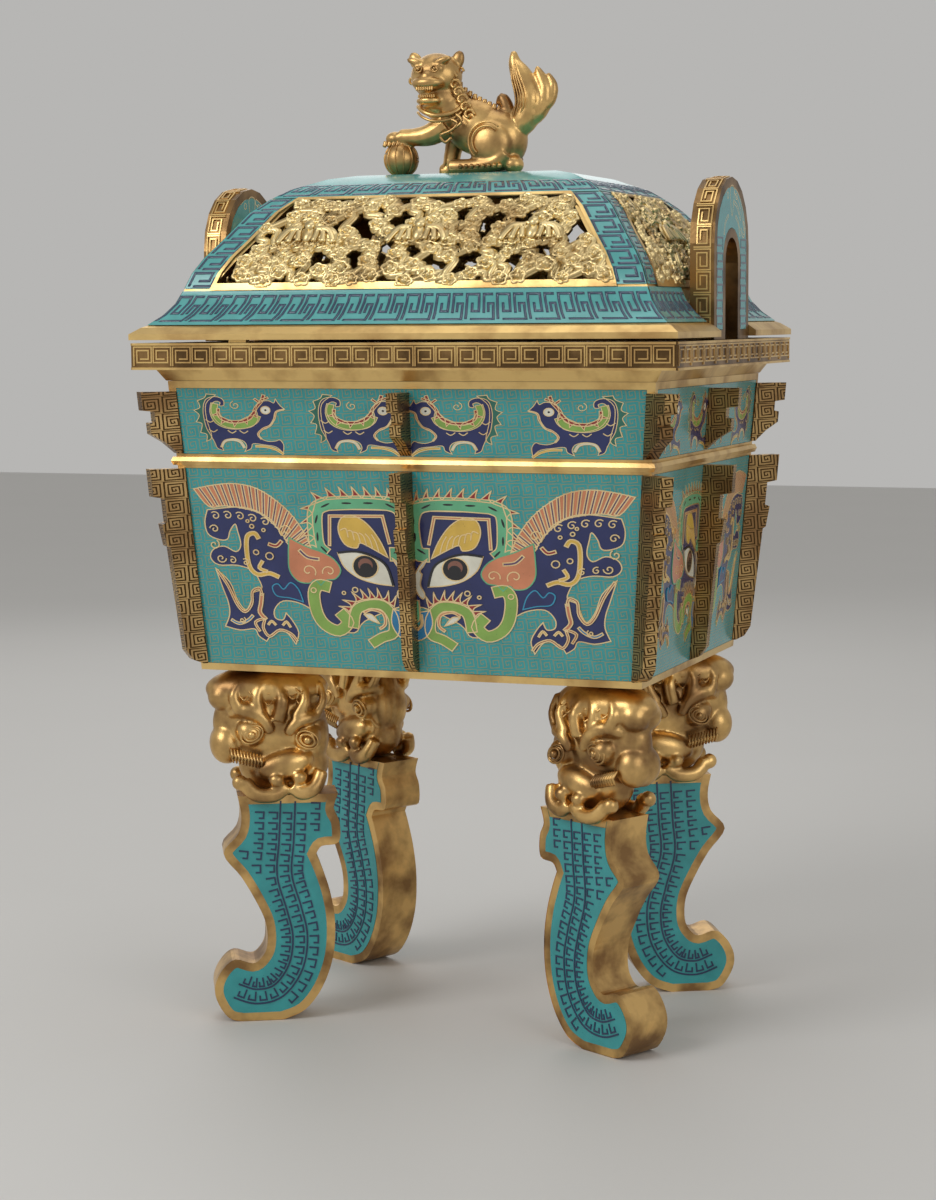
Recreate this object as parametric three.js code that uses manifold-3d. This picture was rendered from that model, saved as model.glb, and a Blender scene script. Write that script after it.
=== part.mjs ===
// A rectangular four-legged incense burner in gilt bronze and cloisonne enamel, with a lift-off cover.
// Millimetres, +Z up, X along the long side, -Y the front. The origin is under the centre, on the floor.
import * as THREE from "three";
import { mergeVertices } from "three/addons/utils/BufferGeometryUtils.js";
import Module from "manifold-3d";

const wasm = await Module();
wasm.setup();

// Fits
const SEAT_GAP = 0.3;
const HANDLE_CLEARANCE = 1.2;

// Vessel body
const BODY_BOTTOM_Z = 314;
const BODY_TOP_Z = 564;
const BODY_TOP_HALF_X = 216.4;
const BODY_TOP_HALF_Y = 167;
const BODY_BOTTOM_HALF_X = 199;
const BODY_BOTTOM_HALF_Y = 147;
const WALL = 12;
const PANEL_THICKNESS = 4;
const PANEL_EDGE = 7;
const BELT_Z = 495.7;
const BELT_HEIGHT = 7;
const BELT_PROJECTION = 4;
const PANEL_MARGIN = 6;

// Neck moulding and rim collar
const NECK_PROJECTION = 7;
const COLLAR_HALF_X = 240;
const COLLAR_HALF_Y = 187.5;
const COLLAR_HEIGHT = 22.5;
const COLLAR_BOTTOM_Z = 573.7;
const MOUTH_HALF_X = 202;
const MOUTH_HALF_Y = 149;

// Flanges
const FLANGE_THICKNESS = 10;
const CORNER_FLANGE_THICKNESS = 12;
const FLANGE_BLOCK = 27;
const FLANGE_NOTCH = 17;
const FLANGE_STEP = 22;
const FLANGE_TIP = 14;
const FLANGE_TOP_MARGIN = 9;
const FLANGE_BELT_MARGIN = 3;
const FLANGE_BOTTOM_MARGIN = 6;

// Handles
const HANDLE_OUTER_X = 234.4;
const HANDLE_THICKNESS = 21;
const HANDLE_HALF_WIDTH = 57;
const HANDLE_OPENING_HALF = 21;
const HANDLE_SPRING_RISE = 79.8;
const HANDLE_OPENING_RISE = 65;
const HANDLE_BORDER = 8;
const INLAY_THICKNESS = 2.5;

// Legs
const FOOT_X = 162;
const FOOT_Y = 108;
const LEG_TURN_DEGREES = 28;
const LEG_THICKNESS = 42;
const LEG_BORDER = 8;
const LEG_HEAD_BOTTOM_Z = 202;
const HEAD_THICKNESS = 54;
const HEAD_INNER = 60;
const HEAD_OUTER = 47;
const HEAD_JAW_TAPER = 8;

// Cover
const COVER_HALF_X = 241;
const COVER_HALF_Y = 190;
const COVER_BOTTOM_Z = 598.8;
const COVER_WALL = 7;
const COVER_RIB_WIDTH = 26;
const WINDOW_BOTTOM_RISE = 43.5;
const WINDOW_TOP_RISE = 118;
const WINDOW_INSET_BOTTOM = 36;
const WINDOW_INSET_TOP = 92;
const OPENWORK_THICKNESS = 3;
const OPENWORK_DEPTH = 1.5;
const PIERCING_RADIUS = 7;
const TOP_INSET = 112;
const TOP_LEDGE = 6;
const TOP_SEAT_RISE = 124;
const LUG_HALF_LENGTH = 8;
const LUG_DEPTH = 9;
const LUG_X = 142;

// Lion finial
const LION_BASE_THICKNESS = 2.5;
const LION_STUD_RADIUS = 5;
const NUT_RADIUS = 11;
const NUT_HEIGHT = 7;
const ROUND_STEPS = 10;

// Materials
const GILT = { color: 0xb8924a, roughness: 0.38, metalness: 1 };
const TURQUOISE = { color: 0x3f9c9c, roughness: 0.3, metalness: 0 };
const NAVY = { color: 0x1d2c55, roughness: 0.3, metalness: 0 };
const NUT_BRASS = { color: 0x8a6a34, roughness: 0.5, metalness: 1 };

const COLLAR_TOP_Z = COLLAR_BOTTOM_Z + COLLAR_HEIGHT;
// A corner flange stands at 45 degrees on a line that starts this far from the body's axis.
const CORNER_SHIFT = BODY_TOP_HALF_X - BODY_TOP_HALF_Y;
const burner = new THREE.Group();

function toSolid(geometry) {
  const bare = geometry.index ? geometry.toNonIndexed() : geometry.clone();
  bare.deleteAttribute("normal");
  bare.deleteAttribute("uv");
  const merged = mergeVertices(bare, 1e-4);
  return new wasm.Manifold(
    new wasm.Mesh({
      numProp: 3,
      vertProperties: merged.attributes.position.array,
      triVerts: new Uint32Array(merged.index.array),
    }),
  );
}

function toGeometry(solid) {
  const mesh = solid.getMesh();
  const geometry = new THREE.BufferGeometry();
  geometry.setAttribute("position", new THREE.BufferAttribute(mesh.vertProperties, 3));
  geometry.setIndex(new THREE.BufferAttribute(mesh.triVerts, 1));
  return geometry;
}

function addPiece(name, solid, look) {
  const mesh = new THREE.Mesh(toGeometry(solid), new THREE.MeshStandardMaterial(look));
  mesh.name = name;
  burner.add(mesh);
}

function box(x0, x1, y0, y1, z0, z1) {
  return loft([[x0, x1, y0, y1, z0], [x0, x1, y0, y1, z1]]);
}

// A stack of rectangles, each [x0, x1, y0, y1, z], joined by flat sides and closed at both ends.
function loft(rects) {
  const positions = [];
  const index = [];
  for (const [x0, x1, y0, y1, z] of rects) {
    positions.push(x0, y0, z, x1, y0, z, x1, y1, z, x0, y1, z);
  }
  const top = (rects.length - 1) * 4;
  index.push(0, 2, 1, 0, 3, 2, top, top + 1, top + 2, top, top + 2, top + 3);
  for (let level = 0; level < rects.length - 1; level += 1) {
    for (let side = 0; side < 4; side += 1) {
      const a = level * 4 + side;
      const b = level * 4 + ((side + 1) % 4);
      index.push(a, b, b + 4, a, b + 4, a + 4);
    }
  }
  const geometry = new THREE.BufferGeometry();
  geometry.setAttribute("position", new THREE.Float32BufferAttribute(positions, 3));
  geometry.setIndex(index);
  return toSolid(geometry);
}

function centredLoft(levels) {
  return loft(levels.map(([hx, hy, z]) => [-hx, hx, -hy, hy, z]));
}

// An outline in a standing plane, [distance, height], made a plate centred on that plane.
function plate(points, thickness) {
  const shape = new THREE.Shape(points.map(([u, v]) => new THREE.Vector2(u, v)));
  const geometry = new THREE.ExtrudeGeometry(shape, { depth: thickness, bevelEnabled: false });
  geometry.translate(0, 0, -thickness / 2);
  geometry.rotateX(Math.PI / 2);
  return toSolid(geometry);
}

// The same outline drawn in by a distance, on the inner side of an anticlockwise path.
function drawnIn(points, distance) {
  const count = points.length;
  return points.map(([x, y], i) => {
    const [px, py] = points[(i + count - 1) % count];
    const [nx, ny] = points[(i + 1) % count];
    const before = new THREE.Vector2(x - px, y - py).normalize();
    const after = new THREE.Vector2(nx - x, ny - y).normalize();
    const inward = new THREE.Vector2(-before.y - after.y, before.x + after.x).normalize();
    const square = Math.max(0.6, inward.x * -after.y + inward.y * after.x);
    return [x + (inward.x * distance) / square, y + (inward.y * distance) / square];
  });
}

function turned(solid, degrees) {
  return solid.rotate([0, 0, degrees]);
}

// Half sizes of the tapering body at a height.
function bodyHalf(z, grow = 0) {
  const share = (z - BODY_BOTTOM_Z) / (BODY_TOP_Z - BODY_BOTTOM_Z);
  return [
    THREE.MathUtils.lerp(BODY_BOTTOM_HALF_X, BODY_TOP_HALF_X, share) + grow,
    THREE.MathUtils.lerp(BODY_BOTTOM_HALF_Y, BODY_TOP_HALF_Y, share) + grow,
  ];
}

function bodyBlock(grow, z0 = BODY_BOTTOM_Z, z1 = BODY_TOP_Z) {
  return centredLoft([[...bodyHalf(z0, grow), z0], [...bodyHalf(z1, grow), z1]]);
}

// The trapezium of one face between two heights, reaching through the wall.
function faceClip(side, z0, z1, shrink) {
  const rects = [z0 + shrink, z1 - shrink].map((z) => {
    const [hx, hy] = bodyHalf(z);
    const edge = PANEL_EDGE + shrink;
    const deep = 2 * PANEL_THICKNESS;
    if (side === "front") return [-hx + edge, hx - edge, -hy - deep, -hy + deep, z];
    if (side === "back") return [-hx + edge, hx - edge, hy - deep, hy + deep, z];
    if (side === "left") return [-hx - deep, -hx + deep, -hy + edge, hy - edge, z];
    return [hx - deep, hx + deep, -hy + edge, hy - edge, z];
  });
  return loft(rects);
}

const SIDES = ["front", "back", "left", "right"];
const PANEL_ROWS = [
  ["frieze_panel", BELT_Z + PANEL_MARGIN, BODY_TOP_Z - PANEL_MARGIN],
  ["mask_panel", BODY_BOTTOM_Z + PANEL_MARGIN, BELT_Z - PANEL_MARGIN],
];

function makeBody() {
  let shell = bodyBlock(0).subtract(
    bodyBlock(-WALL, BODY_BOTTOM_Z + WALL, BODY_TOP_Z + WALL),
  );
  const core = bodyBlock(-PANEL_THICKNESS, BODY_BOTTOM_Z - WALL, BODY_TOP_Z + WALL);
  for (const [row, z0, z1] of PANEL_ROWS) {
    for (const side of SIDES) {
      const recess = faceClip(side, z0, z1, 0).subtract(core);
      shell = shell.subtract(recess);
      const fitted = bodyBlock(0)
        .intersect(faceClip(side, z0, z1, SEAT_GAP))
        .subtract(bodyBlock(SEAT_GAP - PANEL_THICKNESS, BODY_BOTTOM_Z - WALL, BODY_TOP_Z + WALL));
      addPiece(`${row}_${side}`, fitted, row === "mask_panel" ? NAVY : TURQUOISE);
    }
  }
  addPiece("vessel_body", shell, GILT);
}

// A moulding that runs round the body between two heights.
function makeBelt() {
  const half = BELT_HEIGHT / 2;
  const outer = centredLoft([
    [...bodyHalf(BELT_Z, BELT_PROJECTION - 1.5), BELT_Z - half],
    [...bodyHalf(BELT_Z, BELT_PROJECTION), BELT_Z],
    [...bodyHalf(BELT_Z, BELT_PROJECTION - 1.5), BELT_Z + half],
  ]);
  const inner = bodyBlock(SEAT_GAP, BODY_BOTTOM_Z, BODY_TOP_Z);
  addPiece("belt_moulding", outer.subtract(inner), GILT);
}

function makeNeckAndCollar() {
  const neckBottom = BODY_TOP_Z + SEAT_GAP;
  const neckTop = COLLAR_BOTTOM_Z - SEAT_GAP;
  const mouth = centredLoft([
    [MOUTH_HALF_X, MOUTH_HALF_Y, BODY_TOP_Z - WALL],
    [MOUTH_HALF_X, MOUTH_HALF_Y, COLLAR_TOP_Z + WALL],
  ]);
  const neck = centredLoft([
    [BODY_TOP_HALF_X + 1, BODY_TOP_HALF_Y + 1, neckBottom],
    [BODY_TOP_HALF_X + NECK_PROJECTION, BODY_TOP_HALF_Y + NECK_PROJECTION, neckTop],
  ]);
  addPiece("neck_moulding", neck.subtract(mouth), GILT);
  const collar = centredLoft([
    [COLLAR_HALF_X, COLLAR_HALF_Y, COLLAR_BOTTOM_Z],
    [COLLAR_HALF_X, COLLAR_HALF_Y, COLLAR_TOP_Z],
  ]);
  addPiece("rim_collar", collar.subtract(mouth), GILT);
}

// Outer edge of a flange: [projection, height], from its top corner down to where it dies away.
function upperFlangeEdge() {
  const top = BODY_TOP_Z - FLANGE_TOP_MARGIN;
  const bottom = BELT_Z + BELT_HEIGHT / 2 + FLANGE_BELT_MARGIN;
  const span = top - bottom;
  const at = (share) => top - span * share;
  return [
    [FLANGE_BLOCK, top],
    [FLANGE_BLOCK, at(0.3)],
    [FLANGE_NOTCH, at(0.32)],
    [FLANGE_NOTCH, at(0.48)],
    [FLANGE_STEP, at(0.5)],
    [FLANGE_STEP, at(0.68)],
    [FLANGE_NOTCH * 0.6, at(0.82)],
    [0, bottom],
  ];
}

function lowerFlangeEdge() {
  const top = BELT_Z - BELT_HEIGHT / 2 - FLANGE_BELT_MARGIN;
  const bottom = BODY_BOTTOM_Z + FLANGE_BOTTOM_MARGIN;
  const span = top - bottom;
  const at = (share) => top - span * share;
  return [
    [FLANGE_BLOCK, top],
    [FLANGE_BLOCK, at(0.14)],
    [FLANGE_NOTCH, at(0.15)],
    [FLANGE_NOTCH, at(0.27)],
    [FLANGE_STEP, at(0.28)],
    [FLANGE_STEP - 2, at(0.39)],
    [FLANGE_NOTCH, at(0.4)],
    [FLANGE_TIP, at(0.93)],
    [FLANGE_TIP * 0.6, at(0.98)],
    [0, bottom],
  ];
}

// Where a flange's root lies at a height, measured from the body's axis along the flange.
function rootDistance(kind, z) {
  const [hx, hy] = bodyHalf(z);
  if (kind === "x") return hx;
  if (kind === "y") return hy;
  return (hx + hy - CORNER_SHIFT) / Math.SQRT2;
}

function makeFlange(name, edge, kind, degrees, shift, thickness) {
  const buried = PANEL_THICKNESS;
  const outline = edge.map(([d, z]) => [rootDistance(kind, z) + d, z]);
  const root = [edge[edge.length - 1][1], edge[0][1]];
  for (const z of root) outline.push([rootDistance(kind, z) - buried, z]);
  const standing = turned(plate(outline.reverse(), thickness), degrees);
  const placed = standing.translate([shift, 0, 0]);
  const clear = bodyBlock(SEAT_GAP);
  addPiece(name, placed.subtract(clear), GILT);
}

function makeFlanges() {
  const rows = [["upper", upperFlangeEdge()], ["lower", lowerFlangeEdge()]];
  const mids = [["front", "y", -90], ["back", "y", 90], ["left", "x", 180], ["right", "x", 0]];
  const corners = [
    ["front_left", -135, -1],
    ["front_right", -45, 1],
    ["back_right", 45, 1],
    ["back_left", 135, -1],
  ];
  for (const [row, edge] of rows) {
    for (const [side, kind, degrees] of mids) {
      makeFlange(`${row}_flange_${side}`, edge, kind, degrees, 0, FLANGE_THICKNESS);
    }
    for (const [corner, degrees, sign] of corners) {
      const shift = sign * CORNER_SHIFT;
      makeFlange(
        `${row}_flange_${corner}`, edge, "corner", degrees, shift, CORNER_FLANGE_THICKNESS,
      );
    }
  }
}

// An inverted U: half width, height of the springing above the foot, drawn in by a border.
function handleOutline(border) {
  const foot = COLLAR_TOP_Z + SEAT_GAP + border;
  const outerHalf = HANDLE_HALF_WIDTH - border;
  const innerHalf = HANDLE_OPENING_HALF + border;
  const outerSpring = COLLAR_TOP_Z + HANDLE_SPRING_RISE;
  const innerSpring = COLLAR_TOP_Z + HANDLE_OPENING_RISE;
  const points = [[innerHalf, foot], [outerHalf, foot]];
  const arc = (radius, centre, from, to) => {
    for (let step = 0; step <= ROUND_STEPS; step += 1) {
      const angle = from + ((to - from) * step) / ROUND_STEPS;
      points.push([radius * Math.cos(angle), centre + radius * Math.sin(angle)]);
    }
  };
  arc(outerHalf, outerSpring, 0, Math.PI);
  points.push([-outerHalf, foot], [-innerHalf, foot]);
  arc(innerHalf, innerSpring, Math.PI, 0);
  return points;
}

function makeHandles() {
  const centreX = HANDLE_OUTER_X - HANDLE_THICKNESS / 2;
  const face = HANDLE_THICKNESS / 2 - INLAY_THICKNESS / 2;
  for (const [side, sign] of [["left", -1], ["right", 1]]) {
    const stand = (solid, offset) => turned(solid, 90).translate([sign * (centreX + offset), 0, 0]);
    let frame = stand(plate(handleOutline(0), HANDLE_THICKNESS), 0);
    for (const [place, offset] of [["outer", face], ["inner", -face]]) {
      const pocket = plate(handleOutline(HANDLE_BORDER), INLAY_THICKNESS + 2 * SEAT_GAP);
      frame = frame.subtract(stand(pocket, offset));
      const inlay = plate(handleOutline(HANDLE_BORDER + SEAT_GAP), INLAY_THICKNESS);
      addPiece(`handle_${side}_inlay_${place}`, stand(inlay, offset), TURQUOISE);
    }
    addPiece(`handle_${side}`, frame, GILT);
  }
}

// Leg seen square on: distance outwards from the foot's centre, height. The toe curls outwards.
const LEG_OUTLINE = [
  [20, 0], [33, 4], [43, 20], [44, 34], [37, 48], [26, 56], [11, 52], [3, 57], [-2, 68], [-1, 88],
  [8, 109], [20, 130], [35, 151], [22, 168], [19, 184], [22, 201.5],
  [-66, 201.5], [-62, 188], [-67, 176], [-66, 158], [-51, 155], [-46, 148], [-51, 136],
  [-58, 114], [-62, 87], [-60, 56], [-50, 28], [-34, 8], [-14, 0],
];

function makeLegs() {
  const corners = [
    ["front_left", -1, -1],
    ["front_right", 1, -1],
    ["back_left", -1, 1],
    ["back_right", 1, 1],
  ];
  const face = LEG_THICKNESS / 2 - INLAY_THICKNESS / 2;
  for (const [corner, sx, sy] of corners) {
    const place = (solid, offset) => {
      const lifted = solid.translate([0, offset, 0]);
      const aimed = turned(lifted, LEG_TURN_DEGREES);
      const mirrored = aimed.scale([sx, sy, 1]);
      return mirrored.translate([sx * FOOT_X, sy * FOOT_Y, 0]);
    };
    let blade = plate(LEG_OUTLINE, LEG_THICKNESS);
    for (const [side, offset] of [["outer", -face], ["inner", face]]) {
      const pocket = plate(drawnIn(LEG_OUTLINE, LEG_BORDER), INLAY_THICKNESS + 2 * SEAT_GAP);
      blade = blade.subtract(pocket.translate([0, offset, 0]));
      const inlay = plate(drawnIn(LEG_OUTLINE, LEG_BORDER + SEAT_GAP), INLAY_THICKNESS);
      addPiece(`leg_inlay_${corner}_${side}`, place(inlay, offset), TURQUOISE);
    }
    addPiece(`leg_${corner}`, place(blade, 0), GILT);
    const half = HEAD_THICKNESS / 2;
    const jaw = half - HEAD_JAW_TAPER / 2;
    const head = loft([
      [-HEAD_INNER, HEAD_OUTER - 2 * HEAD_JAW_TAPER, -jaw, jaw, LEG_HEAD_BOTTOM_Z],
      [-HEAD_INNER, HEAD_OUTER, -half, half, LEG_HEAD_BOTTOM_Z + 4 * HEAD_JAW_TAPER],
      [-HEAD_INNER, HEAD_OUTER, -half, half, BODY_BOTTOM_Z - 4 * HEAD_JAW_TAPER],
      [-HEAD_INNER, HEAD_OUTER - HEAD_JAW_TAPER, -jaw, jaw, BODY_BOTTOM_Z - SEAT_GAP],
    ]);
    addPiece(`leg_head_${corner}`, place(head, 0), GILT);
  }
}

// Cover section: [inset from the rim, rise above the rim's underside], a cove, then a dome.
const COVER_PROFILE = [
  [0, 0], [0, 5], [8, 10.5], [12, 12], [22, 20], [30, 30], [36, 43], [41, 56], [49, 69],
  [61, 84], [78, 107], [92, 119], [105, 127.5], [130, 137], [150, 140.5],
];

function coverLoft(inset, drop) {
  const levels = COVER_PROFILE.map(([i, rise]) => [
    COVER_HALF_X - i - inset,
    COVER_HALF_Y - i - inset,
    COVER_BOTTOM_Z + rise - drop,
  ]);
  return centredLoft(levels);
}

// The sloping frame of one window, from just under the cove's top to the crown.
function windowClip(side, shrink) {
  const levels = [
    [WINDOW_INSET_BOTTOM, WINDOW_BOTTOM_RISE + shrink],
    [WINDOW_INSET_TOP, WINDOW_TOP_RISE - shrink],
  ];
  const reach = COVER_RIB_WIDTH;
  return loft(
    levels.map(([inset, rise]) => {
      const hx = COVER_HALF_X - inset;
      const hy = COVER_HALF_Y - inset;
      const wx = hx - COVER_RIB_WIDTH - shrink;
      const wy = hy - COVER_RIB_WIDTH - shrink;
      const z = COVER_BOTTOM_Z + rise;
      if (side === "front") return [-wx, wx, -hy - reach, -hy + reach, z];
      if (side === "back") return [-wx, wx, hy - reach, hy + reach, z];
      if (side === "left") return [-hx - reach, -hx + reach, -wy, wy, z];
      return [hx - reach, hx + reach, -wy, wy, z];
    }),
  );
}

function openworkPanel(side) {
  const outside = coverLoft(OPENWORK_DEPTH, OPENWORK_DEPTH);
  const inside = coverLoft(OPENWORK_DEPTH + OPENWORK_THICKNESS, OPENWORK_DEPTH + OPENWORK_THICKNESS);
  let panel = outside.intersect(windowClip(side, SEAT_GAP)).subtract(inside);
  const along = side === "front" || side === "back";
  const columns = along ? 3 : 2;
  for (const [rise, inset] of [[66, 48], [96, 70]]) {
    for (let column = -columns; column <= columns; column += 1) {
      const pin = new THREE.CylinderGeometry(PIERCING_RADIUS, PIERCING_RADIUS, 8 * PIERCING_RADIUS, 6);
      const hole = toSolid(pin);
      const step = (along ? 36 : 34) * column;
      const z = COVER_BOTTOM_Z + rise;
      const depth = (along ? COVER_HALF_Y : COVER_HALF_X) - inset;
      const sign = side === "front" || side === "left" ? -1 : 1;
      const aimed = along ? hole : turned(hole, 90);
      const at = along ? [step, sign * depth, z] : [sign * depth, step, z];
      panel = panel.subtract(aimed.translate(at));
    }
  }
  return panel;
}

function makeCover() {
  const topHalfX = COVER_HALF_X - TOP_INSET;
  const topHalfY = COVER_HALF_Y - TOP_INSET;
  const seatZ = COVER_BOTTOM_Z + TOP_SEAT_RISE;
  const high = COVER_BOTTOM_Z + 2 * TOP_SEAT_RISE;
  let frame = coverLoft(0, 0).subtract(coverLoft(COVER_WALL, COVER_WALL));
  frame = frame.subtract(
    box(-topHalfX, topHalfX, -topHalfY, topHalfY, seatZ, high),
  );
  const throatX = topHalfX - TOP_LEDGE;
  const throatY = topHalfY - TOP_LEDGE;
  frame = frame.subtract(box(-throatX, throatX, -throatY, throatY, seatZ - 2 * COVER_WALL, high));
  for (const side of SIDES) frame = frame.subtract(windowClip(side, 0));
  const notchHalf = HANDLE_HALF_WIDTH + HANDLE_CLEARANCE;
  const notchX = HANDLE_OUTER_X - HANDLE_THICKNESS - HANDLE_CLEARANCE;
  for (const sign of [-1, 1]) {
    const from = Math.min(sign * notchX, sign * 2 * notchX);
    const to = Math.max(sign * notchX, sign * 2 * notchX);
    frame = frame.subtract(box(from, to, -notchHalf, notchHalf, COVER_BOTTOM_Z - WALL, high));
    const lugY = sign * (COVER_HALF_Y - LUG_DEPTH);
    const lugX = sign * LUG_X;
    frame = frame.add(
      box(
        lugX - LUG_HALF_LENGTH, lugX + LUG_HALF_LENGTH,
        lugY - COVER_WALL / 2, lugY + COVER_WALL / 2,
        COLLAR_TOP_Z + SEAT_GAP, COVER_BOTTOM_Z + COVER_WALL / 2,
      ),
    );
  }
  addPiece("cover_frame", frame, GILT);
  for (const side of SIDES) addPiece(`openwork_panel_${side}`, openworkPanel(side), GILT);
  const crown = coverLoft(0, 0).intersect(
    box(
      -topHalfX + SEAT_GAP, topHalfX - SEAT_GAP, -topHalfY + SEAT_GAP, topHalfY - SEAT_GAP,
      seatZ + SEAT_GAP, high,
    ),
  );
  const bore = roundPin(LION_STUD_RADIUS + SEAT_GAP, seatZ - WALL, high);
  addPiece("cover_crown_panel", crown.subtract(bore), TURQUOISE);
}

function roundPin(radius, z0, z1) {
  const geometry = new THREE.CylinderGeometry(radius, radius, z1 - z0, 2 * ROUND_STEPS);
  geometry.rotateX(Math.PI / 2);
  geometry.translate(0, 0, (z0 + z1) / 2);
  return toSolid(geometry);
}

function ball(centre, radii, tilt = 0) {
  const geometry = new THREE.SphereGeometry(1, 2 * ROUND_STEPS, ROUND_STEPS);
  geometry.rotateX(Math.PI / 2);
  geometry.scale(...radii);
  geometry.rotateY(THREE.MathUtils.degToRad(tilt));
  geometry.translate(...centre);
  return toSolid(geometry);
}

// The lion walks towards -X, one paw on a ball; heights are above the crown panel.
const LION_MASSES = [
  { name: "haunch", at: [30, 0, 34], size: [24, 19, 24], tilt: 0 },
  { name: "barrel", at: [2, 0, 42], size: [34, 17, 19], tilt: 12 },
  { name: "chest", at: [-24, -2, 50], size: [21, 19, 26], tilt: 0 },
  { name: "head", at: [-28, -10, 84], size: [24, 22, 23], tilt: 0 },
  { name: "hind foot left", at: [34, -13, 12], size: [12, 8, 14], tilt: 0 },
  { name: "hind foot right", at: [30, 13, 12], size: [12, 8, 14], tilt: 0 },
  { name: "fore foot right", at: [-22, 11, 20], size: [10, 8, 22], tilt: 0 },
  { name: "fore leg on ball", at: [-46, -10, 36], size: [22, 9, 10], tilt: 20 },
  { name: "ball", at: [-66, -10, 16], size: [17, 16, 16], tilt: 0 },
  { name: "tail", at: [46, 0, 72], size: [20, 9, 35], tilt: 8 },
];
const LION_BASE = { x0: -84, x1: 50, halfY: 24 };

function makeLion() {
  const topZ = COVER_BOTTOM_Z + COVER_PROFILE[COVER_PROFILE.length - 1][1] + SEAT_GAP;
  const seatZ = COVER_BOTTOM_Z + TOP_SEAT_RISE;
  const { x0, x1, halfY } = LION_BASE;
  let lion = box(x0, x1, -halfY, halfY, topZ, topZ + LION_BASE_THICKNESS);
  for (const { at, size, tilt } of LION_MASSES) {
    lion = lion.add(ball([at[0], at[1], topZ + at[2]], size, tilt));
  }
  lion = lion.subtract(box(2 * x0, -2 * x0, 4 * x0, -4 * x0, topZ - 2 * WALL, topZ));
  const stud = roundPin(LION_STUD_RADIUS, seatZ - NUT_HEIGHT - 2, topZ + LION_BASE_THICKNESS);
  addPiece("lion_finial", lion.add(stud), GILT);
  const nutTop = seatZ;
  const nutBody = new THREE.CylinderGeometry(NUT_RADIUS, NUT_RADIUS, NUT_HEIGHT, 6);
  nutBody.rotateX(Math.PI / 2);
  nutBody.translate(0, 0, nutTop - NUT_HEIGHT / 2);
  const bore = roundPin(LION_STUD_RADIUS + SEAT_GAP, nutTop - 2 * NUT_HEIGHT, nutTop + NUT_HEIGHT);
  addPiece("finial_nut", toSolid(nutBody).subtract(bore), NUT_BRASS);
}

makeBody();
makeBelt();
makeNeckAndCollar();
makeFlanges();
makeHandles();
makeLegs();
makeCover();
makeLion();

export default burner;
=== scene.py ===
"""Looks of the cloisonne incense burner, built round its frame. Small parts are drawn in millimetres."""

import math
import random

import bpy
import bmesh
from mathutils import Matrix, Vector


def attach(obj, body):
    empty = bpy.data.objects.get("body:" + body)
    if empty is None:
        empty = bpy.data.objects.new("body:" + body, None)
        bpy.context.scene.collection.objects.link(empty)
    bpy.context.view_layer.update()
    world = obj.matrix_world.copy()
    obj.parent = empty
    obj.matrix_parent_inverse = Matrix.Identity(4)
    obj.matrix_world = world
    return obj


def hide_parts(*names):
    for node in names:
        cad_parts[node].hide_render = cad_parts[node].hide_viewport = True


MM = 0.001
SEED = 7

# The body, in millimetres, as in the frame
BODY_BOTTOM_Z = 314.0
BODY_TOP_Z = 564.0
BODY_TOP_HALF = (216.4, 167.0)
BODY_BOTTOM_HALF = (199.0, 147.0)
BELT_Z = 495.7
PANEL_MARGIN = 6.3
PANEL_EDGE = 7.3
COLLAR_HALF = (240.0, 187.5)
COLLAR_Z = (573.7, 596.2)

# The cover's section: inset from the rim, rise above the rim's underside
COVER_HALF = (241.0, 190.0)
COVER_BOTTOM_Z = 598.8
COVER_PROFILE = [
    (0, 0), (0, 5), (8, 10.5), (12, 12), (22, 20), (30, 30), (36, 43), (41, 56), (49, 69),
    (61, 84), (78, 107), (92, 119), (105, 127.5), (130, 137), (150, 140.5),
]
RIB_WIDTH = 26.0
BAND_INSETS = (12.0, 35.0)
WINDOW_INSETS = (36.0, 92.0)
CROWN_INSETS = (93.0, 150.0)
NOTCH_HALF = 58.2
SKIN_LIFT = 0.7
FRET_STROKE = 2.3
FRET_CELL = 27.0

# Legs
FOOT = (162.0, 108.0)
LEG_TURN = math.radians(28)
LEG_THICKNESS = 42.0
LEG_BORDER = 7.5
LEG_OUTLINE = [
    (20, 0), (33, 4), (43, 20), (44, 34), (37, 48), (26, 56), (11, 52), (3, 57), (-2, 68), (-1, 88),
    (8, 109), (20, 130), (35, 151), (22, 168), (19, 184), (22, 201.5),
    (-66, 201.5), (-62, 188), (-67, 176), (-66, 158), (-51, 155), (-46, 148), (-51, 136),
    (-58, 114), (-62, 87), (-60, 56), (-50, 28), (-34, 8), (-14, 0),
]
LEG_SPINE = [(-22, 196), (-20, 160), (-18, 130), (-26, 100), (-31, 75), (-27, 48), (-12, 27), (8, 22), (26, 28)]
CORNERS = (("front_left", -1, -1), ("front_right", 1, -1), ("back_left", -1, 1), ("back_right", 1, 1))
SIDES = ("front", "back", "left", "right")

# Handles
HANDLE_OUTER_X = 234.4
HANDLE_THICKNESS = 21.0
HANDLE_HALF_WIDTH = 57.0
HANDLE_OPENING_HALF = 21.0
HANDLE_SPRING_Z = 676.0
HANDLE_BORDER = 8.0

# Camera, found by fitting the photograph's corners
CAMERA_PLACE = (0.7901, -2.1276, 0.6159)
CAMERA_YAW = math.radians(20.53)
CAMERA_PITCH = math.radians(6.30)
CAMERA_ROLL = math.radians(-0.37)
CAMERA_LENS = 76.7

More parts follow.
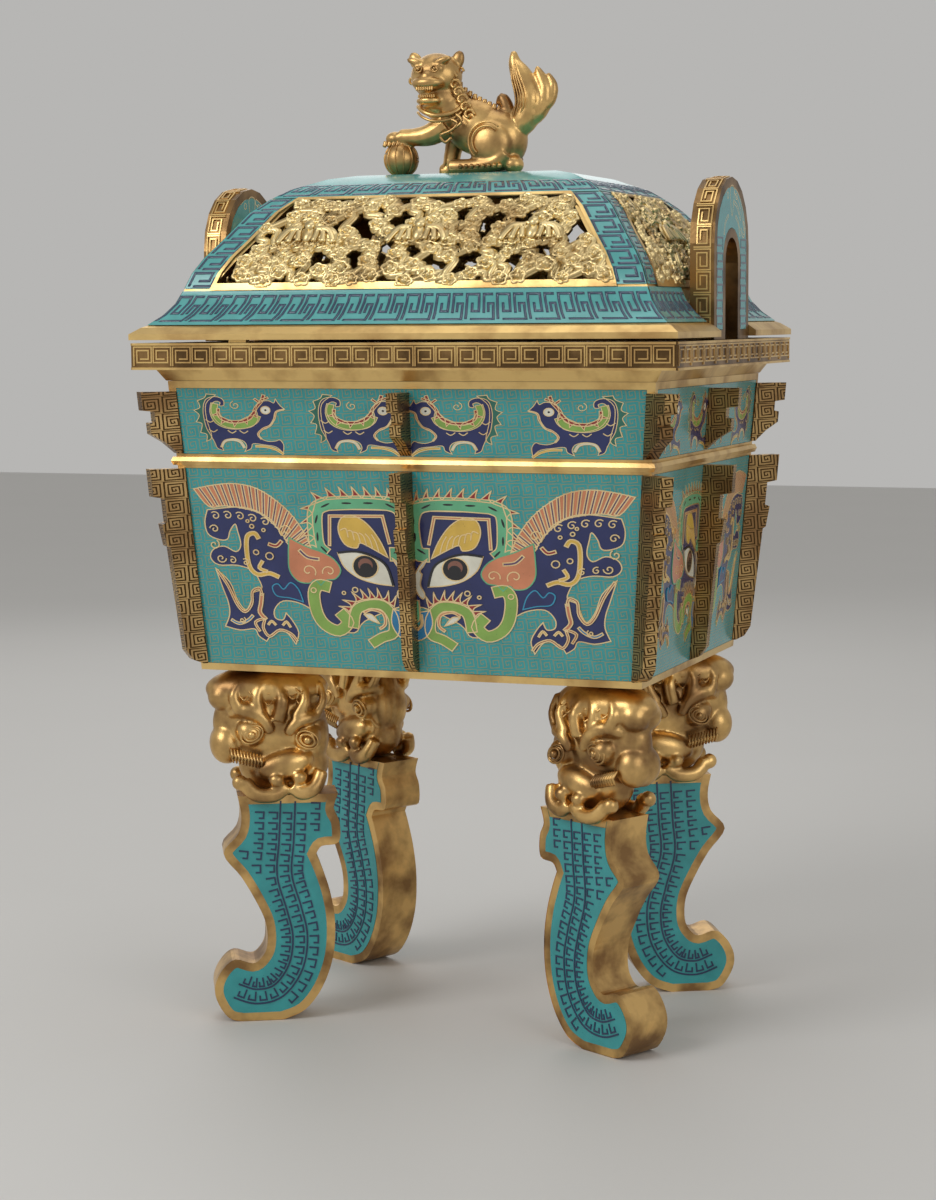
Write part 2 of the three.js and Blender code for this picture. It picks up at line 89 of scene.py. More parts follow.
COLOURS = {
    "turquoise": (0.030, 0.30, 0.31),
    "cover_turquoise": (0.085, 0.36, 0.35),
    "navy": (0.012, 0.020, 0.105),
    "slate": (0.035, 0.065, 0.115),
    "green": (0.12, 0.42, 0.22),
    "lime": (0.22, 0.38, 0.07),
    "dark_green": (0.02, 0.14, 0.10),
    "red": (0.27, 0.015, 0.015),
    "salmon": (0.58, 0.21, 0.10),
    "purple": (0.10, 0.05, 0.12),
    "yellow": (0.68, 0.44, 0.07),
    "white": (0.72, 0.70, 0.58),
    "black": (0.006, 0.006, 0.008),
    "brown": (0.22, 0.09, 0.06),
    "blue": (0.015, 0.20, 0.42),
}


# Materials

def new_group(name, inputs, outputs):
    group = bpy.data.node_groups.new(name, "ShaderNodeTree")
    for label, kind, default in inputs:
        socket = group.interface.new_socket(name=label, in_out="INPUT", socket_type=kind)
        socket.default_value = default
    for label, kind in outputs:
        group.interface.new_socket(name=label, in_out="OUTPUT", socket_type=kind)
    return group, group.nodes.new("NodeGroupInput"), group.nodes.new("NodeGroupOutput")


def math_node(tree, operation, first, second=None):
    node = tree.nodes.new("ShaderNodeMath")
    node.operation = operation
    for slot, value in enumerate((first, second)):
        if value is None:
            continue
        if isinstance(value, (int, float)):
            node.inputs[slot].default_value = value
        else:
            tree.links.new(value, node.inputs[slot])
    return node.outputs[0]


def spiral_group():
    """Nested square spirals in cells: 1 on a wire, 0 between wires."""
    group, start, end = new_group(
        "Square spirals",
        [("Across", "NodeSocketFloat", 0.0), ("Up", "NodeSocketFloat", 0.0),
         ("Cell", "NodeSocketFloat", 0.01), ("Turns", "NodeSocketFloat", 2.0),
         ("Wire", "NodeSocketFloat", 0.3)],
        [("Mask", "NodeSocketFloat")],
    )
    across = math_node(group, "DIVIDE", start.outputs["Across"], start.outputs["Cell"])
    up = math_node(group, "DIVIDE", start.outputs["Up"], start.outputs["Cell"])
    x = math_node(group, "SUBTRACT", math_node(group, "FRACT", across), 0.5)
    y = math_node(group, "SUBTRACT", math_node(group, "FRACT", up), 0.5)
    far = math_node(group, "MAXIMUM", math_node(group, "ABSOLUTE", x), math_node(group, "ABSOLUTE", y))
    ring = math_node(group, "MULTIPLY", far, math_node(group, "MULTIPLY", start.outputs["Turns"], 2.0))
    angle = math_node(group, "ARCTAN2", y, x)
    lean = math_node(group, "DIVIDE", angle, 2 * math.pi)
    phase = math_node(group, "FRACT", math_node(group, "ADD", ring, lean))
    wire = math_node(group, "LESS_THAN", phase, start.outputs["Wire"])
    group.links.new(wire, end.inputs["Mask"])
    return group


def wear_group():
    """Slow and fine mottling of a surface, and pits."""
    group, start, end = new_group(
        "Mottle and pits",
        [("Vector", "NodeSocketVector", (0, 0, 0)), ("Scale", "NodeSocketFloat", 30.0)],
        [("Mottle", "NodeSocketFloat"), ("Grain", "NodeSocketFloat"), ("Pits", "NodeSocketFloat")],
    )
    slow = group.nodes.new("ShaderNodeTexNoise")
    slow.inputs["Detail"].default_value = 4.0
    group.links.new(start.outputs["Vector"], slow.inputs["Vector"])
    group.links.new(start.outputs["Scale"], slow.inputs["Scale"])
    fine = group.nodes.new("ShaderNodeTexNoise")
    fine.inputs["Detail"].default_value = 3.0
    group.links.new(start.outputs["Vector"], fine.inputs["Vector"])
    group.links.new(math_node(group, "MULTIPLY", start.outputs["Scale"], 14.0), fine.inputs["Scale"])
    cells = group.nodes.new("ShaderNodeTexVoronoi")
    group.links.new(start.outputs["Vector"], cells.inputs["Vector"])
    group.links.new(math_node(group, "MULTIPLY", start.outputs["Scale"], 4.0), cells.inputs["Scale"])
    pits = math_node(group, "LESS_THAN", cells.outputs["Distance"], 0.07)
    group.links.new(slow.outputs["Fac"], end.inputs["Mottle"])
    group.links.new(fine.outputs["Fac"], end.inputs["Grain"])
    group.links.new(pits, end.inputs["Pits"])
    return group


def mix_colour(tree, factor, first, second):
    node = tree.nodes.new("ShaderNodeMix")
    node.data_type = "RGBA"
    for socket, value in ((node.inputs[0], factor), (node.inputs[6], first), (node.inputs[7], second)):
        if isinstance(value, (int, float)):
            socket.default_value = value
        elif isinstance(value, tuple):
            socket.default_value = (*value[:3], 1.0)
        else:
            tree.links.new(value, socket)
    return node.outputs[2]


def start_material(name):
    material = bpy.data.materials.new(name)
    material.use_nodes = True
    shader = material.node_tree.nodes["Principled BSDF"]
    return material, material.node_tree, shader


def add_bump(tree, shader, height, strength, distance):
    bump = tree.nodes.new("ShaderNodeBump")
    bump.inputs["Strength"].default_value = strength
    bump.inputs["Distance"].default_value = distance
    tree.links.new(height, bump.inputs["Height"])
    tree.links.new(bump.outputs["Normal"], shader.inputs["Normal"])


def gilt_material(name, bright, dark, share, spirals=None):
    """Fire-gilt bronze, rubbed bright on top and brown in the hollows, with optional engraved spirals."""
    material, tree, shader = start_material(name)
    place = tree.nodes.new("ShaderNodeTexCoord")
    wear = tree.nodes.new("ShaderNodeGroup")
    wear.node_tree = GROUPS["wear"]
    wear.inputs["Scale"].default_value = 28.0
    tree.links.new(place.outputs["Object"], wear.inputs["Vector"])
    ramp = tree.nodes.new("ShaderNodeMapRange")
    ramp.inputs["From Min"].default_value = share
    ramp.inputs["From Max"].default_value = share + 0.22
    tree.links.new(wear.outputs["Mottle"], ramp.inputs["Value"])
    colour = mix_colour(tree, ramp.outputs["Result"], bright, dark)
    height = wear.outputs["Grain"]
    if spirals:
        across_axis, cell, turns = spirals
        apart = tree.nodes.new("ShaderNodeSeparateXYZ")
        tree.links.new(place.outputs["Object"], apart.inputs[0])
        pattern = tree.nodes.new("ShaderNodeGroup")
        pattern.node_tree = GROUPS["spiral"]
        pattern.inputs["Cell"].default_value = cell
        pattern.inputs["Turns"].default_value = turns
        pattern.inputs["Wire"].default_value = 0.42
        tree.links.new(apart.outputs[across_axis], pattern.inputs["Across"])
        tree.links.new(apart.outputs["Z"], pattern.inputs["Up"])
        colour = mix_colour(tree, pattern.outputs["Mask"], colour, tuple(0.22 * c for c in dark))
        height = math_node(tree, "MULTIPLY", pattern.outputs["Mask"], -1.0)
    tree.links.new(colour, shader.inputs["Base Color"])
    shader.inputs["Metallic"].default_value = 1.0
    rough = tree.nodes.new("ShaderNodeMapRange")
    rough.inputs["To Min"].default_value = 0.24
    rough.inputs["To Max"].default_value = 0.48
    tree.links.new(wear.outputs["Mottle"], rough.inputs["Value"])
    tree.links.new(rough.outputs["Result"], shader.inputs["Roughness"])
    add_bump(tree, shader, height, 0.35 if spirals else 0.12, 0.0008)
    return material


def enamel_material(name, colour, ground=None):
    """Polished enamel with faint cloudiness and pits; ground is (axis, cell) for a spiral wire ground."""
    material, tree, shader = start_material(name)
    place = tree.nodes.new("ShaderNodeTexCoord")
    wear = tree.nodes.new("ShaderNodeGroup")
    wear.node_tree = GROUPS["wear"]
    wear.inputs["Scale"].default_value = 60.0
    tree.links.new(place.outputs["Object"], wear.inputs["Vector"])
    light = tuple(min(1.0, 1.25 * c + 0.01) for c in colour)
    deep = tuple(0.72 * c for c in colour)
    shade = mix_colour(tree, wear.outputs["Mottle"], deep, light)
    if ground:
        axis, cell = ground
        apart = tree.nodes.new("ShaderNodeSeparateXYZ")
        tree.links.new(place.outputs["Object"], apart.inputs[0])
        pattern = tree.nodes.new("ShaderNodeGroup")
        pattern.node_tree = GROUPS["spiral"]
        pattern.inputs["Cell"].default_value = cell
        pattern.inputs["Turns"].default_value = 2.0
        pattern.inputs["Wire"].default_value = 0.24
        tree.links.new(apart.outputs[axis], pattern.inputs["Across"])
        tree.links.new(apart.outputs["Z"], pattern.inputs["Up"])
        shade = mix_colour(tree, pattern.outputs["Mask"], shade, (0.24, 0.26, 0.15))
    shade = mix_colour(tree, wear.outputs["Pits"], shade, tuple(0.3 * c for c in colour))
    tree.links.new(shade, shader.inputs["Base Color"])
    shader.inputs["Roughness"].default_value = 0.22
    shader.inputs["Coat Weight"].default_value = 0.25
    add_bump(tree, shader, math_node(tree, "MULTIPLY", wear.outputs["Pits"], -1.0), 0.3, 0.0004)
    return material


def plain_material(name, colour, roughness):
    material, tree, shader = start_material(name)
    place = tree.nodes.new("ShaderNodeTexCoord")
    noise = tree.nodes.new("ShaderNodeTexNoise")
    noise.inputs["Scale"].default_value = 3.0
    tree.links.new(place.outputs["Object"], noise.inputs["Vector"])
    shade = mix_colour(tree, noise.outputs["Fac"], tuple(0.97 * c for c in colour), colour)
    tree.links.new(shade, shader.inputs["Base Color"])
    shader.inputs["Roughness"].default_value = roughness
    return material


# Meshes

def body_half(z):
    share = (z - BODY_BOTTOM_Z) / (BODY_TOP_Z - BODY_BOTTOM_Z)
    return tuple(b + (t - b) * share for b, t in zip(BODY_BOTTOM_HALF, BODY_TOP_HALF))


def aimed(side, s, out, z):
    """A point on a side: s along it to the viewer's right, out from the axis, z up."""
    if side == "front":
        return Vector((s, -out, z)) * MM
    if side == "back":
        return Vector((-s, out, z)) * MM
    if side == "left":
        return Vector((-out, -s, z)) * MM
    return Vector((out, s, z)) * MM


def half_of(pair, side):
    """(half length along the side, distance of the side from the axis)."""
    return pair if side in ("front", "back") else (pair[1], pair[0])


def cover_point(side, s, inset, lift):
    """A point on the cover's face at an inset, lifted along the face's normal."""
    insets = [i for i, _ in COVER_PROFILE]
    place = 1
    while place < len(insets) - 1 and inset > insets[place + 1]:
        place += 1
    (i0, r0), (i1, r1) = COVER_PROFILE[place], COVER_PROFILE[place + 1]
    share = (inset - i0) / (i1 - i0)
    rise = r0 + (r1 - r0) * share
    slope = math.atan2(r1 - r0, i1 - i0)
    out = half_of(COVER_HALF, side)[1] - inset + lift * math.sin(slope)
    return aimed(side, s, out, COVER_BOTTOM_Z + rise + lift * math.cos(slope))


def profile_lengths():
    lengths = [0.0]
    for (i0, r0), (i1, r1) in zip(COVER_PROFILE[1:], COVER_PROFILE[2:]):
        lengths.append(lengths[-1] + math.hypot(i1 - i0, r1 - r0))
    return lengths


LENGTHS = profile_lengths()


def inset_at(length):
    """The inset that lies this far up the profile from the rim's edge."""
    for place in range(len(LENGTHS) - 1):
        if length <= LENGTHS[place + 1]:
            share = (length - LENGTHS[place]) / (LENGTHS[place + 1] - LENGTHS[place])
            i0, i1 = COVER_PROFILE[place + 1][0], COVER_PROFILE[place + 2][0]
            return i0 + (i1 - i0) * share
    return COVER_PROFILE[-1][0]


def length_at(inset):
    for place in range(len(LENGTHS) - 1):
        i0, i1 = COVER_PROFILE[place + 1][0], COVER_PROFILE[place + 2][0]
        if inset <= i1:
            return LENGTHS[place] + (LENGTHS[place + 1] - LENGTHS[place]) * (inset - i0) / (i1 - i0)
    return LENGTHS[-1]


class Drawing:
    """Flat cells and wires, kept as vertices (x, y, lift) in drawing units, with a material name per face."""

    def __init__(self):
        self.vertices = []
        self.faces = []
        self.looks = []

    def prism(self, outline, low, high, look):
        """A raised cell: its top is filled and its sides drop to the ground."""
        mesh = bmesh.new()
        top = [mesh.verts.new((x, y, high)) for x, y in outline]
        edges = [mesh.edges.new((top[i], top[(i + 1) % len(top)])) for i in range(len(top))]
        filled = bmesh.ops.triangle_fill(mesh, use_beauty=True, use_dissolve=False, edges=edges)
        made = [f for f in filled["geom"] if isinstance(f, bmesh.types.BMFace)]
        start = len(self.vertices)
        mesh.verts.index_update()
        self.vertices += [tuple(v.co) for v in mesh.verts]
        for face in made:
            ring = [start + v.index for v in face.verts]
            if face.normal.z < 0:
                ring.reverse()
            self.faces.append(ring)
            self.looks.append(look)
        mesh.free()
        foot = len(self.vertices)
        self.vertices += [(x, y, low) for x, y in outline]
        count = len(outline)
        turn = area_of(outline) > 0
        for i in range(count):
            j = (i + 1) % count
            ring = [start + i, foot + i, foot + j, start + j]
            self.faces.append(ring if turn else ring[::-1])
            self.looks.append(look)

    def wire(self, path, width, low, high, look, closed=True):
        """A raised strip with a flat top."""
        left, right = offsets(path, width / 2, closed)
        start = len(self.vertices)
        for (ax, ay), (bx, by) in zip(left, right):
            self.vertices += [(ax, ay, low), (ax, ay, high), (bx, by, high), (bx, by, low)]
        count = len(path)
        for i in range(count if closed else count - 1):
            a = start + 4 * i
            b = start + 4 * ((i + 1) % count)
            for k in range(3):
                self.faces.append([a + k + 1, a + k, b + k, b + k + 1])
                self.looks.append(look)

    def strip(self, path, width, low, high, look, closed=False):
        """A flat-topped raised strip along a path."""
        left, right = offsets(path, width / 2, closed)
        if closed:
            self.prism(left, low, high, look)
            return
        self.prism(left + right[::-1], low, high, look)


def area_of(outline):
    return sum(
        x0 * y1 - x1 * y0 for (x0, y0), (x1, y1) in zip(outline, outline[1:] + outline[:1])
    ) / 2


def offsets(path, distance, closed):
    """The path moved to its left and to its right, mitred at the corners."""
    left, right = [], []
    count = len(path)
    for i, (x, y) in enumerate(path):
        px, py = path[(i - 1) % count] if closed or i > 0 else path[i]
        nx, ny = path[(i + 1) % count] if closed or i < count - 1 else path[i]
        before = Vector((x - px, y - py))
        after = Vector((nx - x, ny - y))
        if before.length < 1e-9:
            before = after
        if after.length < 1e-9:
            after = before
        before.normalize()
        after.normalize()
        side = Vector((-before.y - after.y, before.x + after.x))
        if side.length < 1e-6:
            side = Vector((-before.y, before.x))
        side.normalize()
        reach = distance / max(0.5, abs(side.dot(Vector((-after.y, after.x)))))
        left.append((x + side.x * reach, y + side.y * reach))
        right.append((x - side.x * reach, y - side.y * reach))
    return left, right


def curved(points, steps=4, closed=True):
    """A smooth path through the points; a point with a third value stays sharp."""
    count = len(points)
    path = []
    for i in range(count if closed else count - 1):
        p1 = points[i]
        p2 = points[(i + 1) % count]
        p0 = points[(i - 1) % count] if closed or i > 0 else p1
        p3 = points[(i + 2) % count] if closed or i < count - 2 else p2
        if len(p1) == 3:
            p0 = p1
        if len(p2) == 3:
            p3 = p2
        for step in range(steps):
            t = step / steps
            path.append(tuple(catmull(p0[k], p1[k], p2[k], p3[k], t) for k in range(2)))
    if not closed:
        path.append(tuple(points[-1][:2]))
    return path


def catmull(a, b, c, d, t):
    return 0.5 * (
        2 * b + (c - a) * t + (2 * a - 5 * b + 4 * c - d) * t ** 2 + (3 * b - a - 3 * c + d) * t ** 3
    )


def ring_path(x, y, radius_x, radius_y=None, turn=0.0, steps=20):
    radius_y = radius_y or radius_x
    path = []
    for i in range(steps):
        a = 2 * math.pi * i / steps
        u, v = radius_x * math.cos(a), radius_y * math.sin(a)
        across = u * math.cos(turn) - v * math.sin(turn)
        up = u * math.sin(turn) + v * math.cos(turn)
        path.append((x + across, y + up))
    return path


def make_object(name, vertices, faces, looks, smooth=False):
    """A mesh object from points in metres; looks names each face's material."""
    names = sorted(set(looks))
    mesh = bpy.data.meshes.new(name)
    mesh.from_pydata([tuple(v) for v in vertices], [], faces)
    for look in names:
        mesh.materials.append(MATERIALS[look])
    for polygon, look in zip(mesh.polygons, looks):
        polygon.material_index = names.index(look)
        polygon.use_smooth = smooth
    piece = bpy.data.objects.new(name, mesh)
    bpy.context.scene.collection.objects.link(piece)
    return piece


class Gathering:
    """Copies of drawings, mapped onto the object, collected into one piece."""

    def __init__(self):
        self.vertices = []
        self.faces = []
        self.looks = []

    def add(self, drawing, mapping, flip=False):
        start = len(self.vertices)
        self.vertices += [mapping(*v) for v in drawing.vertices]
        for face in drawing.faces:
            ring = [start + i for i in face]
            self.faces.append(ring[::-1] if flip else ring)
        self.looks += drawing.looks

    def finish(self, name, body, smooth=False):
        piece = make_object(name, self.vertices, self.faces, self.looks, smooth)
        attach(piece, body)
        return piece


# The lower panels: half a mask, drawn with the corner of the vessel at the left and its middle at the right

MASK_BOARD = (113.0, 114.0)
WIRE = 0.62
BIRD_WIRE = 0.34
LAYER = 0.006
CELL_LOW = -0.5


class Layers(Drawing):
    """Cells with gilt wires round them, each laid a little above the one before."""

    def __init__(self, wire=WIRE):
        super().__init__()
        self.wire_width = wire
        self.level = 0.05

    def cell(self, points, look, wire="wire", steps=4):
        path = curved(points, steps)
        self.level += LAYER
        self.prism(path, CELL_LOW, self.level, look)
        if wire:
            self.wire(path, self.wire_width, CELL_LOW, self.level + 0.08, wire)

    def band(self, points, width, look, wire="wire", steps=4):
        left, right = offsets(curved(points, steps, closed=False), width / 2, False)
        path = left + right[::-1]
        self.level += LAYER
        self.prism(path, CELL_LOW, self.level, look)
        if wire:
            self.wire(path, self.wire_width, CELL_LOW, self.level + 0.08, wire)

    def dot(self, x, y, radius, look, wire="wire", radius_y=None, turn=0.0):
        path = ring_path(x, y, radius, radius_y, turn)
        self.level += LAYER
        self.prism(path, CELL_LOW, self.level, look)
        if wire:
            self.wire(path, self.wire_width, CELL_LOW, self.level + 0.08, wire)

    def scroll(self, x, y, radius, start, turns, sense=1):
        points = []
        for i in range(15):
            t = i / 14
            angle = start + sense * 2 * math.pi * turns * t
            r = radius * (1 - 0.85 * t)
            points.append((x + r * math.cos(angle), y + r * math.sin(angle)))
        self.wire(points, self.wire_width, CELL_LOW, self.level + 0.15, "wire", closed=False)


def flames(layers, path, height, lean, look):
    """Pointed tongues standing on a path, leaning along it."""
    for (x0, y0), (x1, y1) in zip(path, path[1:]):
        along = Vector((x1 - x0, y1 - y0))
        out = Vector((-along.y, along.x)).normalized()
        tip = Vector((x0, y0)) + along * lean + out * height
        middle = Vector((x0, y0)) + along * 0.5 + out * height * 0.35
        layers.cell([(x0, y0, 1), (middle.x - along.x * 0.25, middle.y - along.y * 0.25), (tip.x, tip.y, 1),
                     (middle.x + along.x * 0.2, middle.y + along.y * 0.2), (x1, y1, 1)], look)


def mask_half():
    art = Layers()
    flames(art, [(63, 81), (62, 72), (64, 62)], 5, 0.8, "red")
    art.cell([(9, 90, 1), (7, 83), (8, 76), (13, 73), (18, 73), (20, 78), (23, 82), (24, 78), (25, 70), (22, 66),
              (16, 69), (10, 67), (8, 62), (12, 58), (22, 58), (30, 55), (34, 47), (33, 44), (29, 42), (27, 36),
              (24, 32), (20, 38), (17, 48), (10, 56, 1), (13, 44), (15, 36), (15, 29), (12, 22, 1), (20, 20),
              (28, 21), (30, 17), (34, 14, 1), (38, 19), (45, 20), (50, 13, 1), (52, 20), (49, 27), (46, 31, 1),
              (44, 27), (40, 28), (40, 33), (45, 38), (54, 37), (62, 32), (70, 24), (82, 21), (88, 28),
              (104, 36), (113, 38, 1), (113, 92, 1), (70, 92, 1), (60, 80), (52, 72), (46, 80), (40, 87), (28, 92)], "navy")
    mane_top = [(3, 102), (14, 104.5), (25, 105.5), (36, 103), (46, 96), (54, 87), (60, 76), (62, 68)]
    mane_low = [(10, 92), (18, 92.5), (27, 91.5), (36, 89), (43, 83), (48, 76), (51, 70), (58, 65)]
    art.cell([(*mane_top[0], 1)] + mane_top[1:-1] + [(*mane_top[-1], 1)] + [(58, 65, 1)] + mane_low[-2::-1],
             "salmon")
    top_path, low_path = curved(mane_top, 3, False), curved(mane_low, 3, False)
    for i in range(1, len(top_path) - 1):
        art.band([top_path[i], low_path[i]], 1.3, "purple", steps=1)
    for i in range(5):
        art.scroll(13 + 6.5 * i, 87 - 0.12 * (i - 1) ** 2 * 3, 2.6, 2.4, 1.2, -1)
    frame_path = [(70, 66, 1), (66, 70), (65, 78), (66, 91), (72, 95, 1), (90, 96), (106, 95), (111, 88),
                  (111, 76), (109, 68), (103, 67, 1)]
    crest = curved([(65, 70), (64, 82), (66, 95), (78, 98), (90, 98.5), (101, 98), (110, 96)], 2, False)
    flames(art, crest, 6.5, 0.15, "red")
    art.band(frame_path, 7.6, "green")
    for x, y, turn in ((66, 76, 1.57), (66, 86, 1.3), (71, 94, 0.5), (82, 95.5, 0), (93, 95.8, 0), (104, 94.5, -0.5),
                       (110.5, 87, 1.5), (110, 77, 1.6), (107, 69, 0.6), (69, 68.5, 2.3)):
        art.dot(x, y, 2.6, "black", None, 0.55, turn)
    art.band([(72, 71), (73, 88, 1), (100, 88.5, 1), (103, 73)], 1.2, "salmon", steps=1)
    art.cell([(77, 80), (79, 87), (85, 88.5), (92, 84), (98, 75), (102, 65, 1), (94, 70), (88, 73), (86, 70),
              (80, 72)], "yellow")
    for i in range(6):
        art.wire(curved([(78 + 3.2 * i, 80 - 0.4 * i), (81 + 3.0 * i, 81 - 1.4 * i), (82 + 3.1 * i, 76 - 1.6 * i)],
                        4, False), WIRE, CELL_LOW, art.level + 0.15, "wire", closed=False)
    eye = [(76, 67, 1), (86, 68), (95, 65), (101, 60), (104, 49, 1), (95, 50), (86, 53), (79, 59)]
    art.cell(eye, "white")
    art.wire(curved([(76, 67), (86, 68), (95, 65), (101, 60), (104, 49)], 4, False), 1.2, CELL_LOW,
             art.level + 0.15, "black_wire", closed=False)
    art.dot(90, 59.5, 6.6, "black")
    art.dot(90, 60.5, 3.8, "brown", None)
    art.dot(90.3, 58.4, 3.2, "black", None)
    art.cell([(104, 65, 1), (108, 61), (111, 54), (110, 46), (107, 42), (106, 45), (108, 50), (107, 56, 1),
              (108, 58), (106, 61)], "white")
    art.cell([(51, 75, 1), (50, 65), (50, 56), (54, 50), (60, 49), (63, 51), (66, 48, 1), (69, 51), (74, 52),
              (77, 57), (74, 63), (68, 67), (60, 70)], "salmon", "green_wire")
    art.scroll(60, 56, 4.2, -0.6, 1.0, 1)
    art.scroll(71, 56, 3.8, 3.5, 1.0, -1)
    art.band([(56, 68), (60, 64), (66, 63)], 1.6, "purple")
    art.band([(71, 47), (65, 48), (62, 43), (63, 32), (67, 25), (74, 22), (79, 27), (75, 33)], 6.2, "lime")
    jaw = [(82, 24), (84, 34), (90, 37.5), (98, 37.5), (103, 31), (103, 22), (97, 19), (91, 15)]
    art.band(jaw, 5.4, "lime")
    flames(art, curved([(80, 33), (84, 39), (91, 41), (98, 41), (104, 37)], 2, False), 6, 0.1, "red")
    art.band([(88, 33), (92, 35), (98, 33), (99, 27), (96, 24)], 1.2, "salmon")
    art.cell([(88, 32, 1), (92, 32), (96, 27, 1), (91, 29)], "white")
    art.band([(106, 35), (105, 28), (108, 22), (113, 20)], 5.4, "blue")
    art.band([(108, 33), (108, 27), (112, 23)], 1.0, "salmon")
    art.cell([(109, 41, 1), (113, 41, 1), (113, 29, 1), (109, 30)], "green")
    art.band([(35, 74), (33, 77), (29, 75), (28, 66), (29, 57), (33, 53), (39, 54), (44, 52)], 2.0, "yellow")
    art.band([(36, 61), (34, 57), (38, 55)], 1.5, "yellow")
    art.band([(40, 71), (44, 70), (47, 73)], 1.6, "red")
    art.cell([(40, 46), (43, 48), (46, 45), (50, 49), (54, 45), (56, 38, 1), (49, 40), (42, 41)], "navy",
             "blue_wire")
    art.band([(34, 42), (33, 36), (32, 31), (35, 27)], 1.8, "salmon")
    art.band([(31, 20), (29, 25), (34, 27), (33, 22), (36, 17), (42, 21), (48, 19), (51, 15)], 1.0, "red")
    art.band([(36, 24), (38, 26), (40, 24)], 0.9, "yellow")
    art.band([(44, 24), (46, 26), (48, 23)], 0.9, "yellow")
    art.band([(11, 55), (16, 46), (20, 35), (24, 31), (28, 36), (29, 43), (33, 45), (34, 41)], 1.0, "red")
    art.band([(16, 26), (20, 24), (25, 26), (28, 29)], 1.3, "blue")
    for x, y, r in ((33, 66, 1.4), (40, 64, 2.0), (32, 81, 1.1), (62, 45, 1.4), (84, 46, 1.4), (30, 84, 0.8),
                    (38, 79, 0.9), (78, 44, 0.9)):
        art.wire(ring_path(x, y, r, steps=12), WIRE, CELL_LOW, art.level + 0.1, "wire")
    for x, y, r, a in ((11, 70, 3.0, 1.0), (14, 62, 2.8, 0.0), (20, 61, 2.2, 2.0), (27, 60, 2.2, 2.2),
                       (50, 79, 4.0, 4.0), (12, 79, 2.6, 3.0), (22, 26, 2.0, 1.0)):
        art.scroll(x, y, r, a, 1.2, -1)
    return art


FRIEZE_BOARD = (94.0, 33.8)
BIRD_PLACES = (7.0, 55.5)


def bird():
    art = Layers(BIRD_WIRE)
    art.cell([(9.5, 30.5, 1), (5.5, 31, 1), (4.5, 29), (1.5, 27.5, 1), (2.2, 24), (-0.5, 22.5, 1), (1.6, 20),
              (0, 16.5, 1), (2.4, 15.5), (1.4, 11, 1), (4.0, 10), (3.6, 6.5, 1), (6, 9), (4.6, 18), (5, 26)],
             "dark_green")
    art.cell([(12.5, 25.2), (12.3, 28.2), (9, 29.6), (5, 28), (3.4, 22), (4, 14), (5.5, 10), (7, 6), (8, 3),
              (10.5, 1.8, 1), (10, 5), (12, 7.4), (16, 8.0), (19.5, 6.7), (20.6, 4), (19.6, 1.4, 1), (22.4, 3),
              (23.5, 5.5), (28, 5), (33, 4), (36, 0.9, 1), (36.4, 5), (35, 7.6), (33, 7), (30, 6.8), (27, 8.2),
              (26.4, 10.5), (28, 12.7), (30.5, 14), (32.7, 17), (33.6, 21), (35, 22.6), (38, 23.3, 1),
              (36, 25.5), (34.4, 28.6, 1), (33.6, 26.5), (31.5, 27.6), (28, 27), (26, 24), (26.5, 20), (26, 17),
              (23, 14), (16, 13.2), (10, 15.6), (7, 21), (7.5, 25.6), (9.2, 27.2), (11, 26.6), (10.6, 25)],
             "navy")
    art.band([(8.6, 26), (7.8, 21.5), (9.4, 17), (14, 14.6), (20, 14.8), (24.6, 17), (26.2, 20)], 3.0, "lime")
    flames(art, [(9.8, 22), (10.5, 19.5), (14.5, 17.4), (18.5, 17.4), (22.5, 19.6), (25.5, 23)][::-1], 3.4, 0.6,
           "red")
    art.band([(9.9, 23.5), (10.2, 19.4), (14.6, 16.9), (20.6, 17.4), (24.2, 20.2), (26, 24), (28.6, 27.6),
              (29.6, 30.6)], 1.3, "red")
    art.band([(28.4, 28), (31.4, 29.2)], 0.9, "red")
    art.band([(27.8, 26.6), (25.6, 28.6)], 0.9, "red")
    art.band([(9.8, 3.6), (11.4, 6.6), (14.6, 7.5), (18, 6.5), (19.6, 3.4)], 0.9, "white")
    art.band([(24.5, 4.2), (29, 4), (33, 2.7), (36, 0.4)], 0.9, "yellow")
    art.band([(27.2, 8), (26, 10.5), (28.4, 13.4), (31.4, 15), (33.6, 19), (34.4, 22), (37.6, 23.2)], 0.6,
             "salmon")
    art.dot(29.9, 22.8, 2.0, "white")
    art.dot(29.9, 22.8, 0.5, "black", None)
    for x, y, a in ((7, 12, 1.0), (15, 11.5, 3.6), (20, 11.5, 3.6), (6, 17, 2.0)):
        art.wire(curved([(x - 1.8, y + 0.8), (x, y - 0.6), (x + 1.8, y + 0.6)], 3, False), 0.45, CELL_LOW,
                 art.level + 0.1, "wire", closed=False)
    art.scroll(17.3, 25.2, 2.3, 1.9, 1.3, 1)
    return art


def panel_mapping(side, mirror, board, z0, z1, shift=0.0, unit_lift=1.7):
    """Drawing units to the vessel's face; a mirrored copy fills the right half."""
    def mapping(x, y, lift):
        z = z0 + (z1 - z0) * y / board[1]
        along, out = half_of(body_half(z), side)
        u = (x + shift) / board[0]
        s = -(along - PANEL_EDGE) * (1 - u) if not mirror else (along - PANEL_EDGE) * (1 - u)
        return aimed(side, s, out + lift * unit_lift, z)
    return mapping


